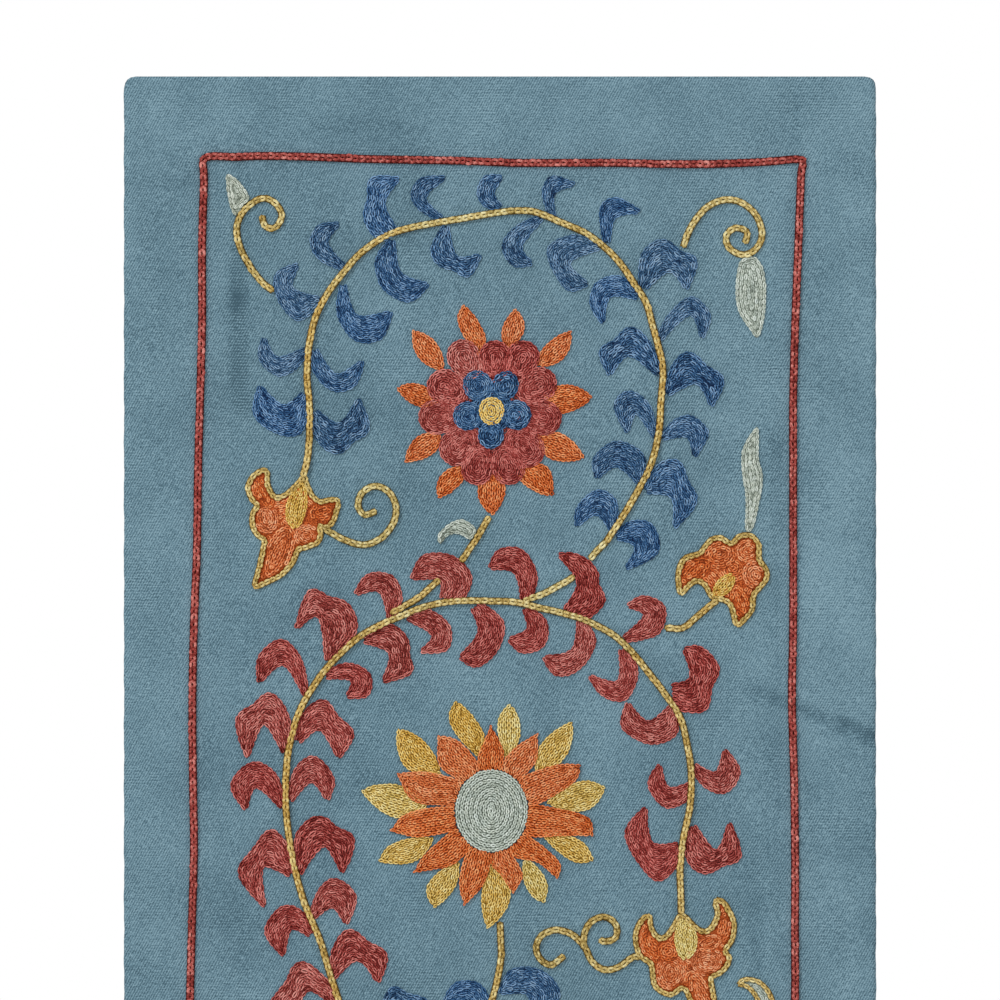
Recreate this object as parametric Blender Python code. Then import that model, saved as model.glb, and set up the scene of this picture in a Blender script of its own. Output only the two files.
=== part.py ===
"""Long narrow wall hanging: a blue twill panel with chain-stitch vines, leaves and round flowers.

Metres, +Z up, X to the right, the worked face towards -Y.
The origin is at the middle of the top edge. The panel hangs down from z = 0.
"""
import math

import bpy
from mathutils import Vector
from mathutils.geometry import delaunay_2d_cdt

# Driving sizes, in metres.
WIDTH = 0.400
CLOTH_THICK = 0.0012
PAD_GAP = 0.0003
PAD_THICK = 0.0006
CLOTH_MESH = 0.0205
FLAT_TOP = 0.016

# The pattern is laid out on a grid: u to the right, v downwards, 752 steps across the panel.
STEPS_WIDE = 752.0
STEPS_LONG = 1468.0
MIDDLE_U = 500.0
TOP_V = 76.5
STEP = WIDTH / STEPS_WIDE
CORNER = 11.0
STEM_WIDE = 7.0
BORDER_WIDE = 7.2
HIDDEN_STRIP = 3.4
CLEAR = 1.2
LEAF_ROUND = 0.6
LEAF_TIP_HALF = 2.9
LEAF_BASE_HALF = 2.4
LEAF_BEND = 0.75

# Soft folds of the hanging cloth: two ends on the grid, height in metres to the back, half width.
# u0, v0, u1, v1, height, half width in steps
FOLDS = (
    (238, 150, 240, 430, 0.0017, 46),
    (795, 60, 793, 700, -0.0015, 46),
    (735, 684, 880, 742, 0.0018, 44),
    (300, 520, 330, 1010, -0.0013, 60),
    (560, 430, 600, 900, 0.0014, 62),
    (420, 900, 400, 1560, -0.0034, 84),
    (650, 1000, 668, 1560, 0.0036, 84),
    (190, 1120, 170, 1560, 0.0028, 76),
    (500, 120, 505, 420, -0.0012, 60),
)

# Red line round the field, corner to corner.
BORDER = (
    (205, 158), (235, 157), (265, 156), (315, 157), (365, 159), (415, 160), (465, 161),
    (515, 163), (565, 163), (615, 163), (665, 164), (715, 164), (765, 162), (802, 160),
    (801, 175), (798, 250), (795, 325), (793, 400), (793, 475), (793, 550), (793, 625),
    (792, 700), (794, 775), (795, 850), (795, 925), (795, 1000), (793, 1080), (792, 1160),
    (791, 1240), (792, 1320), (791, 1400), (790, 1461), (710, 1463), (630, 1461), (550, 1460),
    (470, 1462), (390, 1463), (310, 1461), (240, 1462), (190, 1460), (189, 1380), (190, 1300),
    (191, 1220), (190, 1140), (189, 1060), (190, 1000), (192, 925), (194, 850), (193, 775),
    (192.5, 700), (194, 625), (197, 550), (198, 475), (200, 400), (202, 325), (202, 250),
    (204, 180),
)

# Stems, from root to flower.
STEM_1 = (
    (606, 542), (623, 516), (640, 487), (652, 461), (659, 431), (661, 400), (663, 375),
    (661, 357), (654, 331), (646, 303), (633, 282), (619, 262), (603, 246), (585, 233),
    (560, 222), (535, 212), (515, 211), (496, 213), (460, 219), (436, 223), (410, 228),
    (386, 236), (361, 253), (343, 273), (326, 296), (315, 319), (309, 346), (307, 376),
    (309, 400), (310, 420), (309, 444), (307, 462), (303, 476),
)
FOOT_1 = ((606, 542), (596, 552), (584, 566), (572, 578), (558, 586), (543, 594), (531, 598.5))
STEM_2 = (
    (352, 1104), (353, 1078), (350, 1050), (345, 1025), (339, 1000), (330, 972), (320, 939),
    (306, 906), (296, 873), (290, 843), (286, 806), (286, 780), (288, 754), (294, 728),
    (301, 708), (313, 687), (326, 669), (344, 650), (359, 637), (378, 626), (401, 616),
    (424, 607), (454, 601), (487, 601), (514, 602), (540, 608), (562, 613), (585, 620),
    (612, 634), (630, 650), (649, 673), (665, 694), (680, 717), (687, 744), (691, 771),
    (690, 806), (683, 840), (680, 873), (681, 895), (681, 913),
)
STEM_3 = (
    (549, 1392), (560, 1377), (578, 1380), (586, 1398), (578, 1420), (553, 1434), (520, 1438),
    (486, 1434), (452, 1424), (412, 1398), (380, 1365), (356, 1325), (342, 1280), (336, 1230),
    (338, 1185), (346, 1145), (362, 1108), (385, 1078), (412, 1056), (443, 1040), (473, 1027),
    (505, 1017), (540, 1012), (580, 1018), (614, 1034), (643, 1058), (666, 1090), (681, 1128),
    (688, 1170), (687, 1212), (681, 1250), (678, 1282),
)

# Leaves. Each is a hook: base on the stem, three points on the outer edge, tip, point on the
# inner edge, and where the outer edge has its notch (0 none, 1 after the first point, 2 second).
# base u, v, outer u, v, outer u, v, outer u, v, tip u, v, inner u, v, notch
LEAVES_1 = (
    (320, 300, 298, 321, 278, 300, 275, 275, 298, 265, 294, 287, 0),
    (345, 268, 320, 260, 310, 243, 318, 226, 339, 224, 329, 244, 0),
    (393, 235, 372, 235, 363, 214, 368, 180, 399, 179, 386, 204, 2),
    (441, 219, 421, 211, 411, 196, 420, 179, 445, 178, 427, 198, 0),
    (306, 350, 296, 369, 277, 376, 259, 359, 264, 338, 278, 356, 0),
    (306, 395, 301, 433, 276, 433, 254, 415, 260, 386, 283, 404, 0),
    (501, 208, 484, 206, 477, 193, 484, 177, 502, 177, 495, 194, 0),
    (553, 217, 544, 203, 543, 188, 552, 176, 574, 185, 555, 195, 0),
    (607, 243, 600, 221, 602, 204, 617, 198, 639, 212, 616, 219, 0),
    (643, 288, 643, 252, 666, 239, 696, 257, 686, 289, 669, 273, 2),
    (659, 339, 670, 313, 692, 297, 710, 314, 702, 338, 689, 316, 0),
    (667, 394, 674, 363, 692, 352, 723, 376, 711, 406, 696, 385, 2),
    (662, 438, 675, 420, 692, 416, 708, 432, 694, 456, 686, 438, 0),
    (646, 491, 659, 464, 681, 462, 698, 497, 674, 527, 671, 499, 2),
    (616, 537, 632, 521, 653, 525, 658, 552, 626, 568, 634, 547, 0),
    (392, 240, 375, 263, 384, 290, 409, 302, 428, 284, 402, 272, 0),
    (446, 226, 431, 250, 440, 267, 467, 278, 480, 255, 457, 255, 2),
    (343, 285, 338, 316, 356, 341, 381, 339, 391, 312, 357, 314, 0),
    (315, 350, 314, 373, 333, 391, 355, 386, 362, 361, 336, 373, 0),
    (314, 412, 317, 441, 341, 454, 369, 433, 358, 399, 339, 422, 2),
    (541, 218, 513, 229, 502, 248, 513, 266, 532, 263, 523, 246, 0),
    (599, 247, 572, 235, 547, 251, 565, 289, 588, 284, 571, 263, 0),
    (638, 297, 620, 276, 597, 282, 590, 303, 603, 323, 611, 298, 0),
    (659, 374, 648, 340, 627, 327, 600, 348, 610, 375, 629, 357, 2),
    (656, 437, 648, 403, 628, 391, 614, 405, 628, 432, 637, 415, 0),
    (640, 483, 643, 454, 617, 441, 594, 457, 597, 478, 617, 468, 0),
    (613, 530, 616, 500, 597, 490, 578, 506, 577, 526, 596, 516, 0),
)
LEAVES_2 = (
    (328, 661, 357, 629, 346, 601, 312, 588, 297, 628, 318, 618, 2),
    (391, 620, 402, 595, 391, 575, 368, 574, 356, 594, 379, 593, 0),
    (456, 602, 472, 577, 453, 556, 424, 555, 412, 579, 438, 581, 0),
    (306, 694, 300, 657, 281, 639, 259, 656, 260, 682, 284, 666, 0),
    (285, 752, 289, 716, 268, 692, 237, 715, 248, 757, 264, 725, 2),
    (283, 807, 275, 773, 252, 762, 231, 783, 246, 809, 257, 788, 0),
    (291, 874, 286, 842, 267, 830, 238, 868, 265, 906, 263, 868, 2),
    (311, 934, 303, 911, 282, 906, 265, 930, 284, 955, 292, 930, 0),
    (337, 1002, 322, 974, 296, 962, 269, 1003, 288, 1032, 308, 992, 2),
    (526, 600, 537, 575, 523, 550, 500, 549, 490, 568, 514, 574, 0),
    (566, 613, 601, 598, 598, 571, 580, 555, 559, 555, 574, 583, 1),
    (624, 639, 659, 633, 665, 607, 645, 596, 628, 606, 643, 616, 0),
    (667, 696, 708, 709, 720, 671, 703, 648, 684, 649, 689, 677, 1),
    (694, 766, 705, 787, 726, 793, 740, 772, 724, 750, 715, 771, 0),
    (691, 827, 688, 862, 708, 874, 740, 860, 729, 823, 716, 849, 2),
    (352, 1078, 343, 1043, 321, 1033, 301, 1054, 315, 1080, 326, 1059, 0),
    (407, 617, 430, 610, 450, 626, 448, 649, 421, 651, 431, 635, 0),
    (364, 640, 390, 624, 409, 640, 414, 670, 383, 681, 388, 654, 2),
    (326, 676, 348, 663, 370, 674, 369, 695, 347, 696, 350, 680, 0),
    (298, 741, 305, 711, 327, 700, 354, 730, 338, 757, 320, 731, 2),
    (290, 800, 296, 768, 315, 756, 334, 778, 327, 799, 311, 783, 0),
    (299, 873, 297, 833, 322, 815, 354, 835, 342, 872, 324, 847, 2),
    (312, 917, 321, 887, 337, 878, 356, 895, 346, 923, 332, 908, 0),
    (333, 977, 334, 946, 352, 928, 386, 950, 378, 981, 358, 961, 2),
    (480, 606, 504, 623, 498, 650, 478, 667, 460, 657, 477, 632, 0),
    (525, 608, 547, 623, 544, 646, 523, 653, 509, 639, 526, 628, 0),
    (581, 621, 596, 643, 580, 669, 557, 676, 544, 657, 571, 649, 0),
    (623, 649, 638, 673, 626, 700, 603, 696, 590, 676, 617, 680, 0),
    (673, 706, 676, 735, 650, 744, 622, 728, 628, 703, 648, 720, 0),
    (691, 785, 684, 803, 664, 807, 648, 785, 660, 765, 669, 786, 0),
    (679, 845, 675, 869, 654, 880, 625, 837, 646, 808, 652, 841, 0),
)
# The lowest arch repeats leaves of the arch above it, moved along its own stem.
# row of LEAVES_2, move u, move v
LEAVES_3_FROM_2 = (
    (0, 81, 397), (1, 88, 408), (2, 88, 414), (11, 8, 410), (12, -3, 399), (13, -6, 394),
    (14, -6, 384), (4, 57, 412), (5, 54, 412), (6, 50, 402), (7, 48, 396), (16, 38, 424),
    (17, 42, 425), (19, 43, 427), (20, 45, 429), (21, 45, 418), (22, 55, 428), (24, 34, 412),
    (25, 34, 408), (26, 44, 418), (28, 4, 405), (29, -2, 396), (30, 2, 405),
)

# Round flowers. The third repeats the first.
ROSETTE_1_MIDDLE = (491.5, 411.0)
ROSETTE_2_MIDDLE = (491.5, 810.5)
ROSETTE_3_MIDDLE = (512.0, 1215.0)
# root u, v, left u, v, tip u, v, right u, v
PETALS_1 = (
    (480, 356, 457, 322, 464, 305, 486, 337),
    (508, 351, 501, 331, 516, 309, 525, 329),
    (537, 366, 545, 345, 571, 331, 564, 359),
    (544, 398, 565, 384, 592, 397, 561, 414),
    (536, 437, 562, 433, 584, 458, 550, 459),
    (524, 465, 548, 467, 552, 496, 519, 480),
    (492, 468, 506, 489, 492, 515, 477, 492),
    (463, 465, 463, 482, 438, 498, 440, 476),
    (440, 434, 435, 453, 405, 462, 416, 437),
    (439, 401, 418, 407, 397, 388, 421, 384),
    (444, 371, 418, 358, 413, 330, 437, 343),
)
# Round petals of the red ring: middle u, v, radius
RING_PETALS = (
    (463, 356, 17.0), (495, 357, 17.0), (523, 357, 17.0), (540, 384, 17.5),
    (544, 418, 18.0), (527, 450, 18.5), (509, 469, 16.5), (477, 469, 16.5),
    (457, 448, 18.5), (436, 417, 18.0), (444, 386, 17.5),
)
# Petals of the blue flower: middle u, v, half length, half width
FLOWER_PETALS = (
    (478, 386, 15, 13.5), (505, 386, 14.5, 12.5), (516, 415, 14.5, 14), (491, 435, 13, 12),
    (468, 416, 14, 13.5),
)
# root u, v, left u, v, tip u, v, right u, v
PETALS_2_OUTER = (
    (479, 756, 449, 722, 456, 701, 484, 733),
    (509, 763, 497, 724, 510, 704, 521, 729),
    (536, 774, 540, 745, 572, 722, 566, 757),
    (547, 803, 579, 781, 605, 788, 586, 811),
    (541, 833, 579, 839, 593, 861, 571, 861),
    (524, 857, 547, 881, 543, 903, 525, 886),
    (489, 859, 511, 895, 487, 928, 481, 897),
    (458, 861, 456, 886, 434, 907, 427, 885),
    (433, 837, 416, 861, 379, 860, 394, 842),
    (427, 805, 396, 818, 362, 790, 398, 784),
    (441, 773, 406, 768, 398, 729, 425, 741),
)
# side towards the last petal u, v, tip u, v, side towards the next petal u, v
PETALS_2_INNER = (
    (483, 743, 491, 725, 503, 748),
    (519, 744, 538, 733, 537, 760),
    (559, 764, 581, 765, 574, 783),
    (587, 816, 593, 836, 566, 836),
    (560, 862, 557, 879, 537, 862),
    (523, 876, 513, 893, 499, 873),
    (483, 886, 464, 905, 459, 881),
    (450, 866, 413, 872, 426, 852),
    (416, 837, 390, 830, 408, 812),
    (413, 801, 397, 773, 425, 771),
    (439, 765, 438, 735, 458, 740),
)
DISC_1 = (13.0, 14.5)
DISC_2 = (36.5, 41.5)

# Drooping flowers: the middle line of the gold outline, then the calyx.
CARNATION_1 = (
    (304, 477), (298, 484), (286, 495), (276, 497.5), (270, 491), (267, 481), (267, 471),
    (259, 472), (250, 481), (248.5, 491), (254, 502), (258, 505), (253, 514), (253, 527),
    (259, 536), (265, 540), (263, 551), (259, 570), (255, 586), (267, 582), (282, 574),
    (293, 562), (298, 550), (307, 547), (318, 542), (321, 533), (319, 526), (326, 527),
    (332, 523), (336, 513), (338, 501), (330, 500), (320, 502), (313, 497), (309, 490),
    (306, 483),
)
CARNATION_2 = (
    (713, 598), (705, 585), (696, 581), (687, 587), (681, 594), (678.5, 583), (679, 570),
    (685, 558), (699, 554), (705, 547), (711, 540), (721, 538), (731, 544), (739, 536.5),
    (750, 535.5), (758, 544), (759, 559), (766, 570), (766, 579), (759, 588), (753.5, 595),
    (752, 609), (745, 618.5), (737, 625), (733.5, 614), (730, 604), (722, 599),
)
CARNATION_3 = (
    (681, 915), (674, 927), (665, 938), (657, 937), (651, 928), (649, 916), (641, 922),
    (636, 934), (637, 947), (641, 957), (651, 964), (653, 975), (654, 984), (660, 991),
    (671, 995), (680, 989), (686, 990), (691, 1001), (699, 1018), (710, 1035), (716, 1016),
    (714, 1000), (712, 987), (711, 978), (720, 973), (727, 966), (729, 957), (725, 951),
    (732, 940), (734, 924), (729, 911), (723, 902), (715, 901), (718, 914), (713, 926),
    (706, 932), (697, 929), (689, 921),
)
# middle u, v, half length, half width, angle in degrees
CALYXES = (
    (296, 509, 20, 9.5, 97),
    (722, 586, 14, 8, -43),
    (686, 938, 20, 12, 86),
)
CARNATION_4_MOVE = (-3.0, 369.0)
OUTLINE_HALF = 3.1
PETAL_ROOT = 50.0

# Curls, stalks and loose leaves.
CURL_TOP_LEFT = (
    (273, 291), (262, 282), (251, 268), (242, 252), (237, 236), (238, 221), (247, 207),
    (263, 198), (276, 204), (282, 216), (275, 228), (265, 226), (262, 216),
)
CURL_TOP_RIGHT = (
    (684, 243), (691, 227), (706, 208), (724, 200), (742, 203), (757, 217), (762, 236),
    (755, 250), (742, 255), (729, 248), (726, 236), (735, 228), (747, 232), (745, 243),
)
CURL_1 = (
    (328, 531), (343, 539), (362, 545), (380, 539), (393, 524), (396, 506), (388, 491),
    (374, 486), (362, 493), (358, 505), (364, 515), (376, 511),
)
CURL_3_LOW = (
    (634, 957), (618, 968), (604, 970), (592, 962), (584, 946), (571, 934), (555, 930),
    (541, 936), (536, 949), (542, 961), (552, 965), (564, 956),
)
CURL_3_HIGH = (
    (584, 949), (584, 936), (590, 923), (604, 917), (616, 925), (616, 938), (605, 942),
    (600, 940),
)
STALK_1 = (
    (397, 609), (408, 603), (420, 597), (428, 589.5), (439, 580), (461, 561), (470, 548),
    (478, 536), (485.5, 523), (489, 517),
)
STALK_2 = ((499, 927), (501, 945), (501, 959), (497, 981), (491, 1003), (485, 1017))
STALK_3 = ((511, 1322), (514, 1350), (509, 1380), (498, 1406), (487, 1427))
STALK_CARNATION_2 = ((670, 628), (683, 628), (699, 615), (712, 604))
LEAF_TOP_LEFT = (
    (226, 174), (236, 178), (245, 188), (250, 199), (243, 206), (237, 217), (230, 208), (227, 192),
)
LEAF_RIGHT_UPPER = (
    (739, 262), (752, 256), (761, 263), (766, 283), (766, 305), (763, 326), (757, 339),
    (748, 328), (738, 312), (735, 290),
)
LEAF_RIGHT_LOWER = (
    (757, 426), (759, 442), (759, 460), (763, 477), (759, 505), (753, 529), (745, 530),
    (745, 497), (741, 468), (743, 446),
)
LEAF_SMALL = (
    (437, 539), (439, 532), (445, 526.5), (453, 521), (461.5, 518.6), (471, 523), (477, 530),
    (474, 536.5), (470, 540.5), (463, 536.5), (456, 534), (448, 536.5), (443, 542), (440, 545),
)
CRESCENT = (
    (737, 981), (749, 977), (763, 982), (773, 995), (777, 1014), (772, 1038), (761, 1056),
    (757, 1040), (760, 1018), (756, 1001), (747, 989),
)

# Colours: red, green, blue, roughness.
COLOURS = {
    "twill": (0.140, 0.247, 0.308, 0.93),
    "gold": (0.430, 0.320, 0.125, 0.68),
    "blue": (0.058, 0.120, 0.205, 0.70),
    "red": (0.280, 0.048, 0.040, 0.70),
    "orange": (0.470, 0.135, 0.044, 0.66),
    "yellow": (0.500, 0.330, 0.085, 0.66),
    "pale": (0.330, 0.370, 0.310, 0.72),
}


def cloth_lie(u, v):
    """How far the middle of the cloth lies to the back (+Y) at a place on the grid."""
    depth = (v - TOP_V) * STEP
    rise = min(max((depth - FLAT_TOP) / 0.09, 0.0), 1.0)
    rise = rise * rise * (3.0 - 2.0 * rise)
    total = 0.0
    for u0, v0, u1, v1, height, half in FOLDS:
        du = u1 - u0
        dv = v1 - v0
        along = ((u - u0) * du + (v - v0) * dv) / (du * du + dv * dv)
        along = min(max(along, 0.0), 1.0)
        far = math.hypot(u - u0 - along * du, v - v0 - along * dv)
        total += height * math.exp(-0.5 * (far / half) ** 2)
    return total * rise


def place(u, v, lift):
    """The point of the space over a grid place, lift metres in front of the cloth's middle."""
    return ((u - MIDDLE_U) * STEP, cloth_lie(u, v) - lift, -(v - TOP_V) * STEP)


def curve(points, per=3, closed=False):
    """A smooth line through the points, with per short pieces between two of them."""
    count = len(points)
    line = []
    for i in range(count if closed else count - 1):
        p = []
        for k in (-1, 0, 1, 2):
            j = i + k
            p.append(points[j % count] if closed else points[min(max(j, 0), count - 1)])
        for s in range(per):
            t = s / per
            w = (
                -0.5 * t + t * t - 0.5 * t ** 3,
                1.0 - 2.5 * t * t + 1.5 * t ** 3,
                0.5 * t + 2.0 * t * t - 1.5 * t ** 3,
                -0.5 * t * t + 0.5 * t ** 3,
            )
            line.append((
                sum(a * q[0] for a, q in zip(w, p)),
                sum(a * q[1] for a, q in zip(w, p)),
            ))
    if not closed:
        line.append(tuple(points[-1]))
    return line


def pieces(points, longest, closed=False):
    """The same line with more points on it, none further apart than longest."""
    out = []
    ends = list(points[1:]) + ([points[0]] if closed else [])
    for (u0, v0), (u1, v1) in zip(points, ends):
        count = max(math.ceil(math.hypot(u1 - u0, v1 - v0) / longest), 1)
        for s in range(count):
            out.append((u0 + (u1 - u0) * s / count, v0 + (v1 - v0) * s / count))
    if not closed:
        out.append(tuple(points[-1]))
    return out


def side_way(line, i, closed=False):
    """The unit direction square to the line at its point i, to its left."""
    count = len(line)
    a = line[(i - 1) % count] if closed else line[max(i - 1, 0)]
    b = line[(i + 1) % count] if closed else line[min(i + 1, count - 1)]
    du = b[0] - a[0]
    dv = b[1] - a[1]
    size = math.hypot(du, dv)
    return (-dv / size, du / size)


def area(shape):
    total = 0.0
    for (u0, v0), (u1, v1) in zip(shape, shape[1:] + shape[:1]):
        total += u0 * v1 - u1 * v0
    return total / 2


def grown(shape, by):
    """The outline moved outwards by a number of steps."""
    turn = 1.0 if area(shape) > 0 else -1.0
    out = []
    for i, (u, v) in enumerate(shape):
        su, sv = side_way(shape, i, closed=True)
        out.append((u - turn * su * by, v - turn * sv * by))
    return out


def edge_distance(shape, u, v):
    best = 1e9
    for (u0, v0), (u1, v1) in zip(shape, shape[1:] + shape[:1]):
        du = u1 - u0
        dv = v1 - v0
        t = ((u - u0) * du + (v - v0) * dv) / (du * du + dv * dv + 1e-12)
        t = min(max(t, 0.0), 1.0)
        best = min(best, math.hypot(u - u0 - t * du, v - v0 - t * dv))
    return best


def inset(shape, by):
    """The outline moved inwards; what would cross itself in narrow places is left out."""
    out = []
    for u, v in grown(shape, -by):
        if edge_distance(shape, u, v) > by * 0.93:
            if not out or math.hypot(u - out[-1][0], v - out[-1][1]) > 2.2:
                out.append((u, v))
    return out


def two_sides(end, side, inner, half):
    """The points left and right of a leaf's end, the first on the same side as side."""
    du = end[0] - (side[0] + inner[0]) / 2
    dv = end[1] - (side[1] + inner[1]) / 2
    size = math.hypot(du, dv)
    nu = -dv / size * half
    nv = du / size * half
    if nu * (side[0] - inner[0]) + nv * (side[1] - inner[1]) < 0:
        nu, nv = -nu, -nv
    return (end[0] + nu, end[1] + nv), (end[0] - nu, end[1] - nv)


def leaf(row):
    """A hooked leaf: outer edge from base to tip, and the inner edge back."""
    base, one, two, three, tip, inner = (row[k:k + 2] for k in range(0, 12, 2))
    base_out, base_in = two_sides(base, one, inner, LEAF_BASE_HALF)
    tip_out, tip_in = two_sides(tip, three, inner, LEAF_TIP_HALF)
    outer = curve((base_out, one, two, three, tip_out), 4)
    if row[12]:
        at = 4 * row[12] + 2
        for k, pull in ((at - 1, 0.07), (at, 0.16), (at + 1, 0.07)):
            u, v = outer[k]
            outer[k] = (u + pull * (inner[0] - u), v + pull * (inner[1] - v))
    return grown(outer + curve((tip_in, inner, base_in), 4), LEAF_ROUND)


def roots(shapes, stem):
    """Small wedges that carry each leaf's base in to the middle line of its stem."""
    out = []
    for shape in shapes:
        bu = (shape[0][0] + shape[-1][0]) / 2
        bv = (shape[0][1] + shape[-1][1]) / 2
        best = None
        for (u0, v0), (u1, v1) in zip(stem, stem[1:]):
            du = u1 - u0
            dv = v1 - v0
            t = ((bu - u0) * du + (bv - v0) * dv) / (du * du + dv * dv)
            t = min(max(t, 0.0), 1.0)
            near = (u0 + t * du, v0 + t * dv)
            far = math.hypot(bu - near[0], bv - near[1])
            if best is None or far < best[0]:
                best = (far, near)
        out.append([shape[1], best[1], shape[-2]])
    return out


def moved(shape, du, dv):
    return [(u + du, v + dv) for u, v in shape]


def oval(u, v, half_long, half_wide, angle=0.0, count=14):
    out = []
    c = math.cos(math.radians(angle))
    s = math.sin(math.radians(angle))
    for k in range(count):
        a = 2 * math.pi * k / count
        x = half_long * math.cos(a)
        y = half_wide * math.sin(a)
        out.append((u + x * c - y * s, v + x * s + y * c))
    return out


def petal(row, middle, du=0.0, dv=0.0):
    """A pointed petal with its widest place at left and right, its root drawn to the middle."""
    root, left, tip, right = (row[k:k + 2] for k in range(0, 8, 2))
    deep = 1.0 - PETAL_ROOT / math.hypot(root[0] + du - middle[0], root[1] + dv - middle[1])
    root = (root[0] + deep * (middle[0] - du - root[0]), root[1] + deep * (middle[1] - dv - root[1]))
    far = math.hypot(tip[0] - root[0], tip[1] - root[1])
    au = (tip[0] - root[0]) / far
    av = (tip[1] - root[1]) / far
    sides = []
    for side in (left, right):
        along = (side[0] - root[0]) * au + (side[1] - root[1]) * av
        off = (side[1] - root[1]) * au - (side[0] - root[0]) * av
        at = min(max(along / far, 0.2), 0.85)
        line = []
        for x in (0.0, 0.22, 0.45, 0.65, 0.82, 0.94):
            if x < at:
                share = math.sin(0.5 * math.pi * x / at) ** 0.8
            else:
                share = math.cos(0.5 * math.pi * (x - at) / (1.0 - at)) ** 0.8
            line.append((root[0] + du + x * far * au - off * share * av,
                         root[1] + dv + x * far * av + off * share * au))
        sides.append(line)
    return sides[0] + [(tip[0] + du, tip[1] + dv)] + sides[1][:0:-1]


def ring_faces(middle, inner, outer, count):
    """A flat ring as a row of four-sided shapes."""
    faces = []
    mu, mv = middle
    for k in range(count):
        a = 2 * math.pi * k / count
        b = 2 * math.pi * (k + 1) / count
        faces.append([
            (mu + inner * math.cos(a), mv + inner * math.sin(a)),
            (mu + outer * math.cos(a), mv + outer * math.sin(a)),
            (mu + outer * math.cos(b), mv + outer * math.sin(b)),
            (mu + inner * math.cos(b), mv + inner * math.sin(b)),
        ])
    return faces


def strip_faces(line, wide, closed=False):
    """A narrow band along a line as a row of four-sided shapes."""
    sides = []
    for i, (u, v) in enumerate(line):
        su, sv = side_way(line, i, closed)
        sides.append(((u + su * wide / 2, v + sv * wide / 2), (u - su * wide / 2, v - sv * wide / 2)))
    pairs = list(zip(sides, sides[1:] + sides[:1])) if closed else list(zip(sides, sides[1:]))
    return [[a[0], a[1], b[1], b[0]] for a, b in pairs]


def inside(shape, u, v):
    hit = False
    for (u0, v0), (u1, v1) in zip(shape, shape[1:] + shape[:1]):
        if (v0 > v) != (v1 > v) and u < u0 + (v - v0) * (u1 - u0) / (v1 - v0):
            hit = not hit
    return hit


def material(name):
    found = bpy.data.materials.new(name + "_thread" if name != "twill" else "twill_cloth")
    found.use_nodes = True
    shader = found.node_tree.nodes["Principled BSDF"]
    red, green, blue, rough = COLOURS[name]
    shader.inputs["Base Color"].default_value = (red, green, blue, 1.0)
    shader.inputs["Roughness"].default_value = rough
    shader.inputs["Metallic"].default_value = 0.0
    found.diffuse_color = (red, green, blue, 1.0)
    return found


def outlines(shapes, cut, bend=0.3):
    """The outer and inner outlines of the joined shapes less the cut ones."""
    points = []
    faces = []
    for shape in list(shapes) + list(cut):
        flat = list(shape) if area(list(shape)) > 0 else list(shape)[::-1]
        faces.append(list(range(len(points), len(points) + len(flat))))
        points.extend(Vector(p) for p in flat)
    made, _, triangles, _, _, sources = delaunay_2d_cdt(points, [], faces, 0, 0.02)
    first_cut = len(shapes)
    after = {}
    for t, source in zip(triangles, sources):
        if source and max(source) < first_cut:
            for a, b in ((t[0], t[1]), (t[1], t[2]), (t[2], t[0])):
                after[(a, b)] = True
    edge = {a: b for a, b in after if (b, a) not in after}
    loops = []
    while edge:
        first, step = edge.popitem()
        loop = [first]
        while step != first:
            loop.append(step)
            step = edge.pop(step)
        loops.append(plainer([tuple(made[i]) for i in loop], bend))
    return [loop for loop in loops if abs(area(loop)) > 12.0]


def plainer(loop, bend, longest=37.0, shortest=1.5):
    """The loop without points that lie on a nearly straight run or very near to the next."""
    loop = list(loop)
    i = 0
    while i < len(loop) and len(loop) > 5:
        (u0, v0), (u, v), (u1, v1) = loop[i - 1], loop[i], loop[(i + 1) % len(loop)]
        long = math.hypot(u1 - u0, v1 - v0)
        off = abs((u1 - u0) * (v - v0) - (v1 - v0) * (u - u0)) / max(long, 1e-9)
        near = math.hypot(u - u0, v - v0)
        if (off < bend or near < shortest) and long < longest:
            loop.pop(i)
        else:
            i += 1
    return loop


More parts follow.
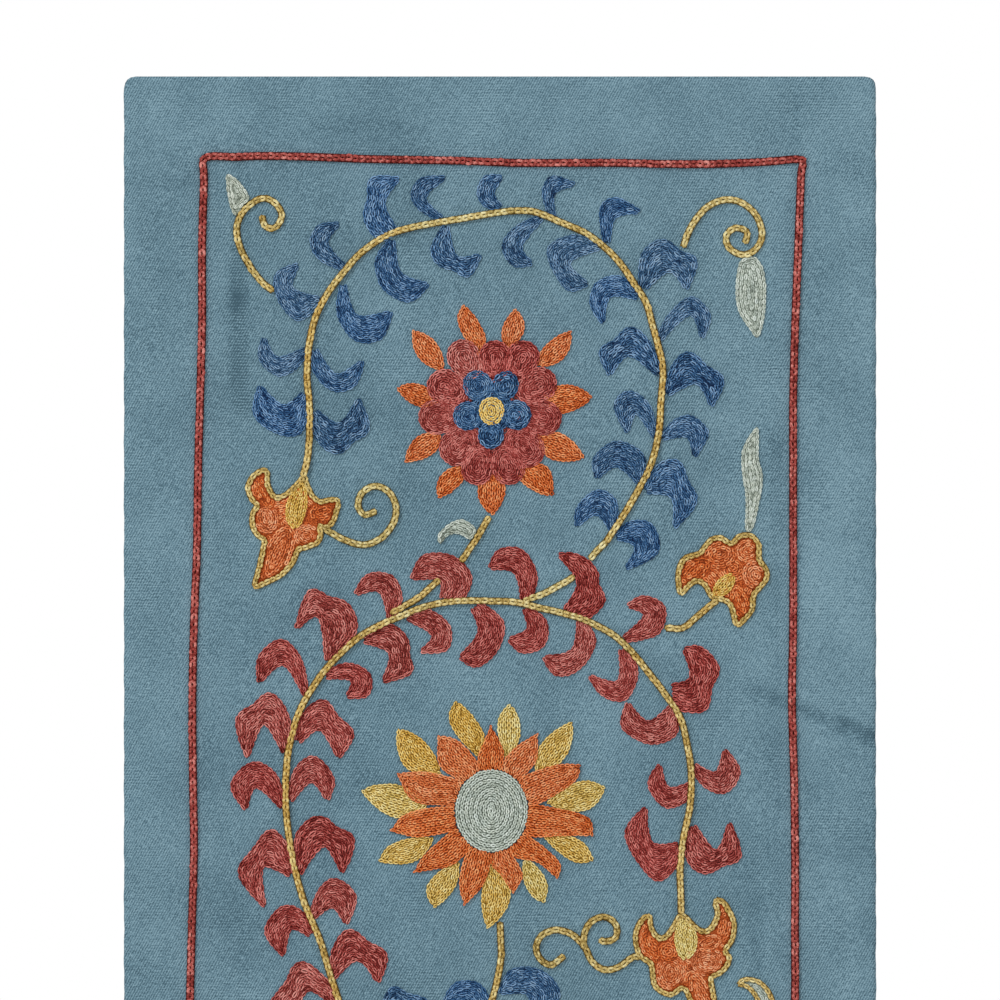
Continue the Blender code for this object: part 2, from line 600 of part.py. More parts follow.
def solid(name, shapes, colour, low, high, cut=(), spacing=0.0, bend=0.3):
    """One closed body over the joined shapes, less the cut ones, from low to high lift."""
    loops = outlines(list(shapes), list(cut), bend)
    points = []
    rims = []
    for loop in loops:
        start = len(points)
        points.extend(loop)
        rims += [(start + k, start + (k + 1) % len(loop)) for k in range(len(loop))]
    if spacing:
        us = [p[0] for p in points]
        vs = [p[1] for p in points]
        across = max(round((max(us) - min(us)) / spacing), 1)
        down = max(round((max(vs) - min(vs)) / spacing), 1)
        for i in range(1, across):
            for j in range(1, down):
                u = min(us) + (max(us) - min(us)) * i / across
                v = min(vs) + (max(vs) - min(vs)) * j / down
                if sum(inside(loop, u, v) for loop in loops) % 2:
                    if min(edge_distance(loop, u, v) for loop in loops) > 0.3 * spacing:
                        points.append((u, v))
    made = delaunay_2d_cdt([Vector(p) for p in points], rims, [], 0, 0.001)
    flat_points, _, triangles = made[:3]
    kept = []
    for t in triangles:
        u = sum(flat_points[i][0] for i in t) / 3
        v = sum(flat_points[i][1] for i in t) / 3
        if sum(inside(loop, u, v) for loop in loops) % 2:
            kept.append(t)
    used = sorted({i for t in kept for i in t})
    order = {old: new for new, old in enumerate(used)}
    count = len(used)
    verts = [place(flat_points[i][0], flat_points[i][1], high) for i in used]
    verts += [place(flat_points[i][0], flat_points[i][1], low) for i in used]
    edges = {}
    mesh_faces = []
    for t in kept:
        a, b, c = (order[i] for i in t)
        (ax, _, az), (bx, _, bz), (cx, _, cz) = verts[a], verts[b], verts[c]
        if (bx - ax) * (cz - az) - (bz - az) * (cx - ax) < 0:
            b, c = c, b
        mesh_faces.append((a, b, c))
        mesh_faces.append((a + count, c + count, b + count))
        for e in ((a, b), (b, c), (c, a)):
            edges[e] = True
    for a, b in edges:
        if (b, a) not in edges:
            mesh_faces.append((b, a, a + count))
            mesh_faces.append((b, a + count, b + count))
    mesh = bpy.data.meshes.new(name)
    mesh.from_pydata(verts, [], mesh_faces)
    mesh.validate()
    mesh.materials.append(MATERIALS[colour])
    made_object = bpy.data.objects.new(name, mesh)
    bpy.context.scene.collection.objects.link(made_object)
    return made_object


for old in list(bpy.data.objects):
    bpy.data.objects.remove(old, do_unlink=True)
MATERIALS = {name: material(name) for name in COLOURS}

FRONT = CLOTH_THICK / 2
LOW_1 = FRONT + PAD_GAP
HIGH_1 = LOW_1 + PAD_THICK
LOW_2 = HIGH_1 + PAD_GAP
HIGH_2 = LOW_2 + PAD_THICK


def panel_outline():
    """The panel's outline, with small round corners and a point at each mesh step."""
    left = MIDDLE_U - STEPS_WIDE / 2
    right = MIDDLE_U + STEPS_WIDE / 2
    top = TOP_V
    bottom = TOP_V + STEPS_LONG
    across = round(WIDTH / CLOTH_MESH)
    down = round(STEPS_LONG * STEP / CLOTH_MESH)
    out = []
    corners = ((right, top, -90), (right, bottom, 0), (left, bottom, 90), (left, top, 180))
    for k, (cu, cv, start) in enumerate(corners):
        mu = cu + (-CORNER if cu == right else CORNER)
        mv = cv + (CORNER if cv == top else -CORNER)
        for s in range(4):
            a = math.radians(start + 30 * s)
            out.append((mu + CORNER * math.cos(a), mv + CORNER * math.sin(a)))
        u0, v0 = out[-1]
        nu, nv, after = corners[(k + 1) % 4]
        b = math.radians(after)
        u1 = nu + (-CORNER if nu == right else CORNER) + CORNER * math.cos(b)
        v1 = nv + (CORNER if nv == top else -CORNER) + CORNER * math.sin(b)
        count = down if abs(v1 - v0) > abs(u1 - u0) else across
        for s in range(1, count):
            sway = 0.5 * math.sin(s * 1.7 + k) * (0.0 if k == 3 else 1.0)
            u = u0 + (u1 - u0) * s / count
            v = v0 + (v1 - v0) * s / count
            out.append((u + sway, v) if count == down else (u, v + sway))
    return out


solid("ground_cloth", [panel_outline()], "twill", -FRONT, FRONT, spacing=CLOTH_MESH / STEP)
border = pieces(BORDER, 41.0, closed=True)
solid("field_border", strip_faces(border, BORDER_WIDE, closed=True), "red", LOW_1, HIGH_1)

# Arches: the leaves are joined under their stem by a hidden strip.
stem_1 = curve(STEM_1, 1)
stem_2 = curve(STEM_2, 1)
stem_3 = curve(STEM_3, 1)
foot_1 = curve(FOOT_1, 1)
shapes_1 = [leaf(row) for row in LEAVES_1]
shapes_2 = [leaf(row) for row in LEAVES_2]
shapes_3 = [moved(leaf(LEAVES_2[i]), du, dv) for i, du, dv in LEAVES_3_FROM_2]
strip_1, strip_2, strip_3 = (strip_faces(stem, HIDDEN_STRIP) for stem in (stem_1, stem_2, stem_3))
under_leaf = grown(shapes_2[10], CLEAR)
move_u, move_v = CARNATION_4_MOVE
flower_1 = grown(list(CARNATION_1), CLEAR + OUTLINE_HALF)
flower_3 = grown(list(CARNATION_3), CLEAR + OUTLINE_HALF)
flower_4 = moved(flower_3, move_u, move_v)
solid("arch_1_leaves", shapes_1 + roots(shapes_1, stem_1) + strip_1, "blue", LOW_1, HIGH_1,
      cut=[flower_1], bend=LEAF_BEND)
solid("arch_1_stem", strip_faces(stem_1, STEM_WIDE), "gold", LOW_2, HIGH_2)
wide_stem_2 = strip_faces(stem_2, STEM_WIDE + 2 * CLEAR)
solid("arch_1_stem_foot", strip_faces(foot_1[2:], STEM_WIDE), "gold", LOW_1, HIGH_1,
      cut=[under_leaf, grown(shapes_2[9], CLEAR)] + wide_stem_2)
solid("arch_2_leaves", shapes_2 + roots(shapes_2, stem_2) + strip_2, "red", LOW_1, HIGH_1,
      cut=[flower_3], bend=LEAF_BEND)
solid("arch_2_stem", strip_faces(stem_2, STEM_WIDE), "gold", LOW_2, HIGH_2)
solid("arch_3_leaves", shapes_3 + roots(shapes_3, stem_3) + strip_3, "blue", LOW_1, HIGH_1,
      cut=[flower_4], bend=LEAF_BEND)
solid("arch_3_stem", strip_faces(stem_3, STEM_WIDE), "gold", LOW_2, HIGH_2)


def rosette_blue(number, du, dv):
    """Eleven orange petals, a ring of round red petals and a blue flower with a yellow disc."""
    name = "rosette_%d_" % number
    middle = (ROSETTE_1_MIDDLE[0] + du, ROSETTE_1_MIDDLE[1] + dv)
    petals = [petal(row, middle, du, dv) for row in PETALS_1]
    solid(name + "petals", petals + ring_faces(middle, 46.0, 60.0, 22), "orange", LOW_1, HIGH_1)
    lobes = []
    for u, v, radius in RING_PETALS:
        lobes.append(oval(u + du, v + dv, radius, radius, 0.0, 12))
    body = [oval(middle[0], middle[1], 51.0, 51.0, 0.0, 22)]
    flower = []
    for u, v, half_long, half_wide in FLOWER_PETALS:
        angle = math.degrees(math.atan2(v + dv - middle[1], u + du - middle[0]))
        flower.append(oval(u + du, v + dv, half_long, half_wide, angle, 12))
    core = oval(middle[0], middle[1], 22.0, 22.0, 0.0, 12)
    wide = [grown(s, CLEAR) for s in flower + [core]]
    solid(name + "ring", lobes + body, "red", LOW_2, HIGH_2, cut=wide, spacing=26.0)
    disc = oval(middle[0], middle[1], DISC_1[1], DISC_1[0], 90.0, 14)
    solid(name + "flower", flower + [core], "blue", LOW_1, HIGH_2, cut=[grown(disc, CLEAR)])
    solid(name + "disc", [disc], "yellow", LOW_1, HIGH_2)
    return petals


def between(middle, a, b, far):
    """The point far from the middle in the direction half-way between a and b."""
    angle_a = math.atan2(a[1] - middle[1], a[0] - middle[0])
    angle_b = math.atan2(b[1] - middle[1], b[0] - middle[0])
    half = angle_a + ((angle_b - angle_a) % (2 * math.pi)) / 2
    return (middle[0] + far * math.cos(half), middle[1] + far * math.sin(half))


def rosette_disc(number, middle):
    """Yellow petals behind orange ones, round a large pale disc."""
    name = "rosette_%d_" % number
    outer = [petal(row, middle) for row in PETALS_2_OUTER]
    solid(name + "outer_petals", outer + ring_faces(middle, 46.0, 58.0, 22), "yellow", LOW_1, HIGH_1)
    inner = []
    tips = [row[2:4] for row in PETALS_2_INNER]
    for k, row in enumerate(PETALS_2_INNER):
        left, tip, right = (row[j:j + 2] for j in range(0, 6, 2))
        foot_left = between(middle, tips[k - 1], tip, 42.0)
        foot_right = between(middle, tip, tips[(k + 1) % len(tips)], 42.0)
        inner.append(curve((foot_left, left, tip), 3) + curve((tip, right, foot_right), 3)[1:])
    body = [oval(middle[0], middle[1], 54.0, 50.0, 90.0, 22)]
    disc = oval(middle[0], middle[1], DISC_2[1], DISC_2[0], 90.0, 24)
    solid(name + "inner_petals", inner + body, "orange", LOW_2, HIGH_2,
          cut=[grown(disc, CLEAR)], spacing=26.0)
    solid(name + "disc", [disc], "pale", LOW_1, HIGH_2, spacing=26.0)
    return outer


petals_1 = rosette_blue(1, 0.0, 0.0)
petals_2 = rosette_disc(2, ROSETTE_2_MIDDLE)
petals_3 = rosette_blue(3, ROSETTE_3_MIDDLE[0] - ROSETTE_1_MIDDLE[0],
                        ROSETTE_3_MIDDLE[1] - ROSETTE_1_MIDDLE[1])


def carnation(number, outline, calyx):
    """A drooping flower: gold outline shape, orange fill on it and a pointed calyx."""
    name = "carnation_%d_" % number
    cu, cv, half_long, half_wide, angle = calyx
    cup = oval(cu, cv, half_long, half_wide, angle, 12)
    solid(name + "outline", [grown(list(outline), OUTLINE_HALF)], "gold", LOW_1, HIGH_1, spacing=26.0)
    fill = inset(list(outline), OUTLINE_HALF)
    solid(name + "fill", [fill], "orange", LOW_2, HIGH_2, cut=[grown(cup, CLEAR)])
    solid(name + "calyx", [cup], "yellow", LOW_2, HIGH_2)


carnation(1, CARNATION_1, CALYXES[0])
carnation(2, CARNATION_2, CALYXES[1])
carnation(3, CARNATION_3, CALYXES[2])
calyx_3 = CALYXES[2]
carnation(4, moved(list(CARNATION_3), move_u, move_v),
          (calyx_3[0] + move_u, calyx_3[1] + move_v) + calyx_3[2:])

# Curls and stalks lie on the cloth and stop short of what they touch.
near_1 = [grown(s, CLEAR) for s in shapes_1]
near_2 = [grown(s, CLEAR) for s in shapes_2]
near_3 = [grown(s, CLEAR) for s in shapes_3]
wide_stem_3 = strip_faces(stem_3, STEM_WIDE + 2 * CLEAR)
solid("leaf_top_left", [list(LEAF_TOP_LEFT)], "pale", LOW_1, HIGH_1,
      cut=strip_faces(CURL_TOP_LEFT, STEM_WIDE + 2 * CLEAR))
solid("curl_top_left", strip_faces(CURL_TOP_LEFT, STEM_WIDE), "gold", LOW_1, HIGH_1, cut=near_1)
solid("curl_top_right", strip_faces(CURL_TOP_RIGHT, STEM_WIDE), "gold", LOW_1, HIGH_1, cut=near_1)
solid("curl_1", strip_faces(CURL_1, STEM_WIDE), "gold", LOW_1, HIGH_1, cut=[flower_1])
solid("curl_3", strip_faces(CURL_3_LOW, STEM_WIDE) + strip_faces(CURL_3_HIGH, STEM_WIDE),
      "gold", LOW_1, HIGH_1, cut=[flower_3])
solid("curl_4", strip_faces(moved(CURL_3_LOW[:6], move_u, move_v), STEM_WIDE), "gold", LOW_1, HIGH_1,
      cut=[flower_4])
clear_1 = [grown(s, CLEAR) for s in petals_1]
solid("stalk_1_low", strip_faces(STALK_1[:6], STEM_WIDE), "gold", LOW_1, HIGH_1,
      cut=near_2 + wide_stem_2)
solid("stalk_1_high", strip_faces(STALK_1[5:], STEM_WIDE), "gold", LOW_1, HIGH_1,
      cut=near_2 + clear_1)
solid("stalk_2", strip_faces(STALK_2, STEM_WIDE), "gold", LOW_1, HIGH_1,
      cut=near_3 + wide_stem_3 + [grown(s, CLEAR) for s in petals_2])
solid("stalk_3", strip_faces(STALK_3, STEM_WIDE), "gold", LOW_1, HIGH_1,
      cut=near_3 + wide_stem_3 + [grown(s, CLEAR) for s in petals_3])
solid("stalk_carnation_2", strip_faces(STALK_CARNATION_2, STEM_WIDE), "gold", LOW_1, HIGH_1,
      cut=near_2 + [grown(list(CARNATION_2), CLEAR + OUTLINE_HALF)])
solid("leaf_right_upper", [list(LEAF_RIGHT_UPPER)], "pale", LOW_1, HIGH_1,
      cut=strip_faces(CURL_TOP_RIGHT, STEM_WIDE + 2 * CLEAR))
solid("leaf_right_lower", [list(LEAF_RIGHT_LOWER)], "pale", LOW_1, HIGH_1,
      cut=[grown(list(CARNATION_2), CLEAR + OUTLINE_HALF)])
solid("leaf_small", [list(LEAF_SMALL)], "pale", LOW_1, HIGH_1,
      cut=strip_faces(STALK_1, STEM_WIDE + 2 * CLEAR))
solid("crescent_outline", [list(CRESCENT)], "gold", LOW_1, HIGH_1)
solid("crescent_fill", [inset(curve(CRESCENT, 2, closed=True), 5.0)], "pale", LOW_2, HIGH_2)
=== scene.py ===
"""Looks of the embroidered wall hanging: blue twill, and chain stitches of silk thread on it.

Places are on the same grid as the solids: u to the right and v downwards, 752 steps across.
"""
import math

import bpy
import numpy as np
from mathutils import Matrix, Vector
from mathutils.geometry import delaunay_2d_cdt


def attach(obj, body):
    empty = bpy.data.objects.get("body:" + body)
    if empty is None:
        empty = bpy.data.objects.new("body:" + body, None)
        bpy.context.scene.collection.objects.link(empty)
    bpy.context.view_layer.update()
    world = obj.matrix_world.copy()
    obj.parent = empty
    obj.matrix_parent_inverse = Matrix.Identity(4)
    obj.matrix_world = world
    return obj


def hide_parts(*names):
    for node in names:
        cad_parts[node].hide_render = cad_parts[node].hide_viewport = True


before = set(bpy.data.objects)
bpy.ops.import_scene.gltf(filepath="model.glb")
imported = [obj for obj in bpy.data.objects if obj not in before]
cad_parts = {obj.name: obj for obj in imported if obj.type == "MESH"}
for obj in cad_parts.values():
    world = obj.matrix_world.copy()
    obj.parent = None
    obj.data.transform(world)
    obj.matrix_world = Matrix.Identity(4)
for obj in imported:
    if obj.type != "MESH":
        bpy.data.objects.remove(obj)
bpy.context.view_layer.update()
rng = np.random.default_rng(11)

# The panel on the grid, and the size of one step in metres.
WIDTH = 0.400
STEPS_WIDE = 752.0
STEPS_LONG = 1468.0
MIDDLE_U = 500.0
TOP_V = 76.5
STEP = WIDTH / STEPS_WIDE
LENGTH = STEPS_LONG * STEP
CORNER = 11.0
# The flat strip at the top, the stretch over which the folds grow below it, and the ripple, in metres.
FLAT_TOP = 0.016
FOLDS_GROW = 0.09
RIPPLE = 0.00012
CLOTH_FRONT = 0.00055
CLOTH_BACK = 0.00055

# Rows of chain stitch, in steps: row width, length of one stitch, half thickness of its thread,
# and how uneven the tone is from stitch to stitch.
FILL = (4.3, 7.2, 0.86, 0.14)
FINE = (3.9, 6.4, 0.79, 0.13)
SHORT = (4.5, 5.2, 0.96, 0.08)
TIGHT = (4.0, 5.2, 0.90, 0.11)
DOTS = (4.3, 4.4, 1.00, 0.05)
CLOSE = (3.7, 5.6, 0.93, 0.10)
STEM = (7.2, 6.8, 1.78, 0.07)
OUTLINE = (6.4, 6.0, 1.56, 0.07)
BORDER_ROW = (8.2, 6.4, 1.95, 0.09)

# How far the threads' undersides lie in front of the cloth's middle, in metres, layer by layer.
LIFT_1 = 0.00050
LIFT_2 = 0.00105
LIFT_3 = 0.00150
PAD_LIFT = 0.00010
PAD_THICK = 0.00028

# Soft folds of the hanging cloth: two ends on the grid, height in metres to the back, half width.
# u0, v0, u1, v1, height, half width in steps
FOLDS = (
    (238, 150, 240, 430, 0.0017, 46),
    (795, 60, 793, 700, -0.0015, 46),
    (735, 684, 880, 742, 0.0018, 44),
    (300, 520, 330, 1010, -0.0013, 60),
    (560, 430, 600, 900, 0.0014, 62),
    (420, 900, 400, 1560, -0.0034, 84),
    (650, 1000, 668, 1560, 0.0036, 84),
    (190, 1120, 170, 1560, 0.0028, 76),
    (500, 120, 505, 420, -0.0012, 60),
)

# Creases pressed into the cloth: two ends, depth in metres to the back, half width, darkening, which is
# painted shade in the crease (below zero, painted light on a ridge).
# u0, v0, u1, v1, depth, half width in steps, darkening (painted shade)
CREASES = (
    (240, 160, 239, 235, 0.00040, 6.5, 0.12),
    (238, 252, 238, 300, 0.00050, 6.5, 0.42),
    (238, 300, 242, 400, 0.00040, 6.5, 0.34),
    (233, 262, 233, 380, 0.00020, 2.5, 0.20),
    (228, 150, 232, 330, -0.00020, 5.0, -0.10),
    (795, 80, 796, 420, 0.00030, 5.0, 0.10),
    (796, 420, 793, 700, 0.00025, 5.0, 0.10),
    (778, 440, 776, 700, 0.00030, 4.5, 0.14),
    (752, 690, 808, 712, 0.00045, 4.5, 0.26),
    (808, 712, 872, 741, 0.00060, 4.5, 0.36),
    (835, 716, 876, 736, 0.00045, 2.6, 0.42),
    (775, 700, 780, 960, 0.00020, 6.0, 0.10),
    (650, 655, 700, 700, 0.00022, 4.0, 0.10),
    (540, 612, 630, 662, 0.00018, 4.5, 0.12),
    (400, 395, 402, 560, 0.00012, 9.0, 0.08),
    (203, 700, 205, 900, 0.00010, 7.0, 0.06),
    (255, 440, 300, 455, 0.00015, 4.0, 0.10),
    (744, 820, 756, 900, 0.00022, 5.0, 0.10),
    (756, 900, 758, 1010, 0.00030, 5.0, 0.22),
    (330, 130, 420, 126, 0.00020, 8.0, 0.05),
    (210, 1150, 330, 1140, 0.00025, 7.0, 0.06),
    (560, 1120, 700, 1420, 0.00022, 7.0, 0.05),
)

# Broad places of painted shade and painted light on the cloth, for its soft folds and wrinkles: two
# ends, half width, darkening.
# u0, v0, u1, v1, half width in steps, darkening (below zero, painted light)
SHADES = (
    (842, 90, 842, 1500, 30, -0.05), (835, 500, 838, 680, 30, -0.06), (150, 90, 150, 1500, 40, -0.02),
    (385, 150, 400, 215, 28, 0.06), (250, 800, 250, 900, 40, 0.05), (130, 182, 195, 182, 7, 0.05),
    (130, 275, 195, 272, 10, 0.07), (820, 171, 872, 172, 6, 0.05), (370, 380, 372, 470, 22, 0.06),
    (500, 640, 640, 700, 40, -0.02), (600, 120, 700, 120, 30, -0.02), (310, 720, 330, 840, 26, 0.02),
    (330, 130, 330, 1500, 80, 0.04), (412, 495, 412, 545, 24, 0.09), (245, 235, 245, 330, 26, 0.05),
    (790, 560, 830, 700, 40, -0.06), (850, 230, 850, 340, 24, -0.06), (300, 175, 300, 260, 30, 0.04),
    (430, 180, 480, 190, 30, 0.04), (400, 500, 400, 540, 24, 0.03),
    (250, 380, 250, 480, 24, 0.06), (545, 780, 550, 840, 22, 0.08), (365, 780, 430, 880, 26, 0.05),
    (300, 925, 305, 985, 18, 0.11), (700, 730, 705, 1000, 40, 0.04), (450, 290, 470, 300, 30, 0.05),
    (640, 790, 660, 830, 30, 0.05), (150, 430, 165, 470, 24, 0.04), (150, 230, 160, 260, 24, 0.04),
    (862, 700, 866, 960, 14, 0.06), (500, 700, 510, 1000, 50, 0.03),
)

# Red line round the field, corner to corner.
BORDER = (
    (205, 158), (235, 157), (265, 156), (315, 157), (365, 159), (415, 160), (465, 161),
    (515, 163), (565, 163), (615, 163), (665, 164), (715, 164), (765, 162), (802, 160),
    (801, 175), (798, 250), (795, 325), (793, 400), (793, 475), (793, 550), (793, 625),
    (792, 700), (794, 775), (795, 850), (795, 925), (795, 1000), (793, 1080), (792, 1160),
    (791, 1240), (792, 1320), (791, 1400), (790, 1461), (710, 1463), (630, 1461), (550, 1460),
    (470, 1462), (390, 1463), (310, 1461), (240, 1462), (190, 1460), (189, 1380), (190, 1300),
    (191, 1220), (190, 1140), (189, 1060), (190, 1000), (192, 925), (194, 850), (193, 775),
    (192.5, 700), (194, 625), (197, 550), (198, 475), (200, 400), (202, 325), (202, 250),
    (204, 180),
)

# Stems, from root to flower.
STEM_1 = (
    (606, 542), (623, 516), (640, 487), (652, 461), (659, 431), (661, 400), (663, 375),
    (661, 357), (654, 331), (646, 303), (633, 282), (619, 262), (603, 246), (585, 233),
    (560, 222), (535, 212), (515, 211), (496, 213), (460, 219), (436, 223), (410, 228),
    (386, 236), (361, 253), (343, 273), (326, 296), (315, 319), (309, 346), (307, 376),
    (309, 400), (310, 420), (309, 444), (307, 462), (303, 476),
)
FOOT_1 = ((606, 542), (596, 552), (584, 566), (572, 578), (558, 586), (543, 594), (524, 600.5))
STEM_2 = (
    (352, 1104), (353, 1078), (350, 1050), (345, 1025), (339, 1000), (330, 972), (320, 939),
    (306, 906), (296, 873), (290, 843), (286, 806), (286, 780), (288, 754), (294, 728),
    (301, 708), (313, 687), (326, 669), (344, 650), (359, 637), (378, 626), (401, 616),
    (424, 607), (454, 601), (487, 601), (514, 602), (540, 608), (562, 613), (585, 620),
    (612, 634), (630, 650), (649, 673), (665, 694), (680, 717), (687, 744), (691, 771),
    (690, 806), (683, 840), (680, 873), (681, 895), (681, 913),
)
STEM_3 = (
    (549, 1392), (560, 1377), (578, 1380), (586, 1398), (578, 1420), (553, 1434), (520, 1438),
    (486, 1434), (452, 1424), (412, 1398), (380, 1365), (356, 1325), (342, 1280), (336, 1230),
    (338, 1185), (346, 1145), (362, 1108), (385, 1078), (412, 1056), (443, 1040), (473, 1027),
    (505, 1017), (540, 1012), (580, 1018), (614, 1034), (643, 1058), (666, 1090), (681, 1128),
    (688, 1170), (687, 1212), (681, 1250), (678, 1282),
)

# Leaves. Each is a hook: base on the stem, three points on the outer edge, tip, point on the
# inner edge, and where the outer edge has its notch (0 none, 1 after the first point, 2 second).
# base u, v, outer u, v, outer u, v, outer u, v, tip u, v, inner u, v, notch, base half width
LEAVES_1 = (
    (320, 300, 298, 321, 278, 300, 275, 275, 298, 265, 294, 287, 0, 4),
    (345, 268, 320, 260, 310, 243, 318, 226, 339, 224, 329, 244, 0, 4),
    (393, 235, 372, 235, 363, 214, 368, 180, 399, 179, 386, 204, 2, 8),
    (441, 219, 421, 211, 411, 196, 420, 179, 445, 178, 427, 198, 0, 4),
    (306, 350, 296, 369, 277, 376, 259, 359, 264, 338, 278, 356, 0, 4),
    (306, 395, 301, 433, 276, 433, 254, 415, 260, 386, 283, 404, 0, 6),
    (501, 208, 484, 206, 477, 193, 484, 177, 502, 177, 495, 194, 0, 4),
    (553, 217, 544, 203, 543, 188, 552, 176, 574, 185, 555, 195, 0, 4),
    (607, 243, 600, 221, 602, 204, 617, 198, 639, 212, 616, 219, 0, 4),
    (643, 288, 643, 252, 666, 239, 696, 257, 686, 289, 669, 273, 2, 5),
    (659, 339, 670, 313, 692, 297, 710, 314, 702, 338, 689, 316, 0, 4),
    (667, 394, 674, 363, 692, 352, 723, 376, 711, 406, 696, 385, 2, 4),
    (662, 438, 675, 420, 692, 416, 708, 432, 694, 456, 686, 438, 0, 4),
    (646, 491, 659, 464, 681, 462, 698, 497, 674, 527, 671, 499, 2, 4),
    (616, 537, 632, 521, 653, 525, 658, 552, 626, 568, 634, 547, 0, 4),
    (392, 240, 375, 263, 384, 290, 409, 302, 428, 284, 402, 272, 0, 4),
    (446, 226, 431, 250, 440, 267, 467, 278, 480, 255, 457, 255, 2, 4),
    (343, 285, 338, 316, 356, 341, 381, 339, 391, 312, 357, 314, 0, 4),
    (315, 350, 314, 373, 333, 391, 355, 386, 362, 361, 336, 373, 0, 4),
    (314, 412, 317, 441, 341, 454, 369, 433, 358, 399, 339, 422, 2, 5),
    (541, 218, 513, 229, 502, 248, 513, 266, 532, 263, 523, 246, 0, 4),
    (599, 247, 572, 235, 547, 251, 565, 289, 588, 284, 571, 263, 0, 4),
    (638, 297, 620, 276, 597, 282, 590, 303, 603, 323, 611, 298, 0, 4),
    (659, 374, 648, 340, 627, 327, 600, 348, 610, 375, 629, 357, 2, 4),
    (656, 437, 648, 403, 628, 391, 614, 405, 628, 432, 637, 415, 0, 4),
    (640, 483, 643, 454, 617, 441, 594, 457, 597, 478, 617, 468, 0, 4),
    (613, 530, 616, 500, 597, 490, 578, 506, 577, 526, 596, 516, 0, 4),
)
LEAVES_2 = (
    (328, 661, 357, 629, 346, 601, 312, 588, 297, 628, 318, 618, 2, 4),
    (391, 620, 402, 595, 391, 575, 368, 574, 356, 594, 379, 593, 0, 4),
    (451, 600, 472, 577, 453, 556, 424, 555, 412, 579, 438, 581, 0, 12),
    (306, 694, 300, 657, 281, 639, 259, 656, 260, 682, 284, 666, 0, 4),
    (285, 752, 289, 716, 268, 692, 237, 715, 248, 757, 264, 725, 2, 4),
    (283, 807, 275, 773, 252, 762, 231, 783, 246, 809, 257, 788, 0, 4),
    (291, 874, 286, 842, 267, 830, 238, 868, 265, 906, 263, 868, 2, 4),
    (311, 934, 303, 911, 282, 906, 265, 930, 284, 955, 292, 930, 0, 4),
    (337, 1002, 322, 974, 296, 962, 269, 1003, 288, 1032, 308, 992, 2, 6),
    (526, 600, 537, 575, 523, 550, 500, 549, 490, 568, 514, 574, 0, 6),
    (573, 616, 606, 600, 598, 571, 580, 555, 559, 555, 576, 583, 1, 13),
    (624, 639, 659, 633, 665, 607, 645, 596, 628, 606, 643, 616, 0, 4),
    (673, 697, 708, 709, 720, 671, 703, 648, 684, 649, 689, 677, 1, 14),
    (694, 766, 705, 787, 726, 793, 740, 772, 724, 750, 715, 771, 0, 4),
    (691, 827, 688, 862, 708, 874, 740, 860, 729, 823, 716, 849, 2, 6),
    (352, 1078, 343, 1043, 321, 1033, 301, 1054, 315, 1080, 326, 1059, 0, 4),
    (407, 617, 430, 610, 450, 626, 448, 649, 421, 651, 431, 635, 0, 4),
    (364, 640, 390, 624, 409, 640, 414, 670, 383, 681, 388, 654, 2, 4),
    (326, 676, 348, 663, 370, 674, 369, 695, 347, 696, 350, 680, 0, 4),
    (298, 741, 305, 711, 327, 700, 354, 730, 338, 757, 320, 731, 2, 4),
    (290, 800, 296, 768, 315, 756, 334, 778, 327, 799, 311, 783, 0, 4),
    (299, 873, 297, 833, 322, 815, 354, 835, 342, 872, 324, 847, 2, 4),
    (312, 917, 321, 887, 337, 878, 356, 895, 346, 923, 332, 908, 0, 4),
    (333, 977, 334, 946, 352, 928, 386, 950, 378, 981, 358, 961, 2, 4),
    (476, 606, 504, 623, 498, 650, 478, 667, 460, 657, 477, 632, 0, 7),
    (525, 608, 547, 623, 544, 646, 523, 653, 509, 639, 526, 628, 0, 4),
    (581, 621, 596, 643, 580, 669, 557, 676, 544, 657, 571, 649, 0, 5),
    (623, 649, 638, 673, 626, 700, 603, 696, 590, 676, 617, 680, 0, 5),
    (673, 706, 676, 735, 650, 744, 622, 728, 628, 703, 648, 720, 0, 4),
    (691, 785, 684, 803, 664, 807, 648, 785, 660, 765, 669, 786, 0, 4),
    (679, 845, 675, 869, 654, 880, 625, 837, 646, 808, 652, 841, 0, 4),
)
# The lowest arch repeats leaves of the arch above it, moved along its own stem.
# row of LEAVES_2, move u, move v
LEAVES_3_FROM_2 = (
    (0, 81, 397), (1, 88, 408), (2, 88, 414), (11, 8, 410), (12, -3, 399), (13, -6, 394),
    (14, -6, 384), (4, 57, 412), (5, 54, 412), (6, 50, 402), (7, 48, 396), (16, 38, 424),
    (17, 42, 425), (19, 43, 427), (20, 45, 429), (21, 45, 418), (22, 55, 428), (24, 34, 412),
    (25, 34, 408), (26, 44, 418), (28, 4, 405), (29, -2, 396), (30, 2, 405),
)

# Round flowers. Petals: root, left side, tip and right side, seen from the middle.
ROSETTE_1_MIDDLE = (491.5, 411.0)
ROSETTE_2_MIDDLE = (491.5, 810.5)
ROSETTE_3_MIDDLE = (512.0, 1215.0)
# root u, v, left u, v, tip u, v, right u, v, warmth
PETALS_1 = (
    (480, 356, 457, 322, 464, 305, 486, 337, 0.3),
    (508, 351, 501, 331, 516, 309, 525, 329, 0.6),
    (537, 366, 545, 345, 571, 331, 564, 359, 0.4),
    (544, 398, 565, 384, 592, 397, 561, 414, 0.1),
    (536, 437, 562, 433, 584, 458, 550, 459, 0.2),
    (524, 465, 548, 467, 552, 496, 519, 480, 0.0),
    (492, 468, 506, 489, 492, 515, 477, 492, 0.1),
    (463, 465, 463, 482, 438, 498, 440, 476, 0.0),
    (440, 434, 435, 453, 405, 462, 416, 437, 0.3),
    (439, 401, 418, 407, 397, 388, 421, 384, 0.2),
    (444, 371, 418, 358, 413, 330, 437, 343, 0.4),
)
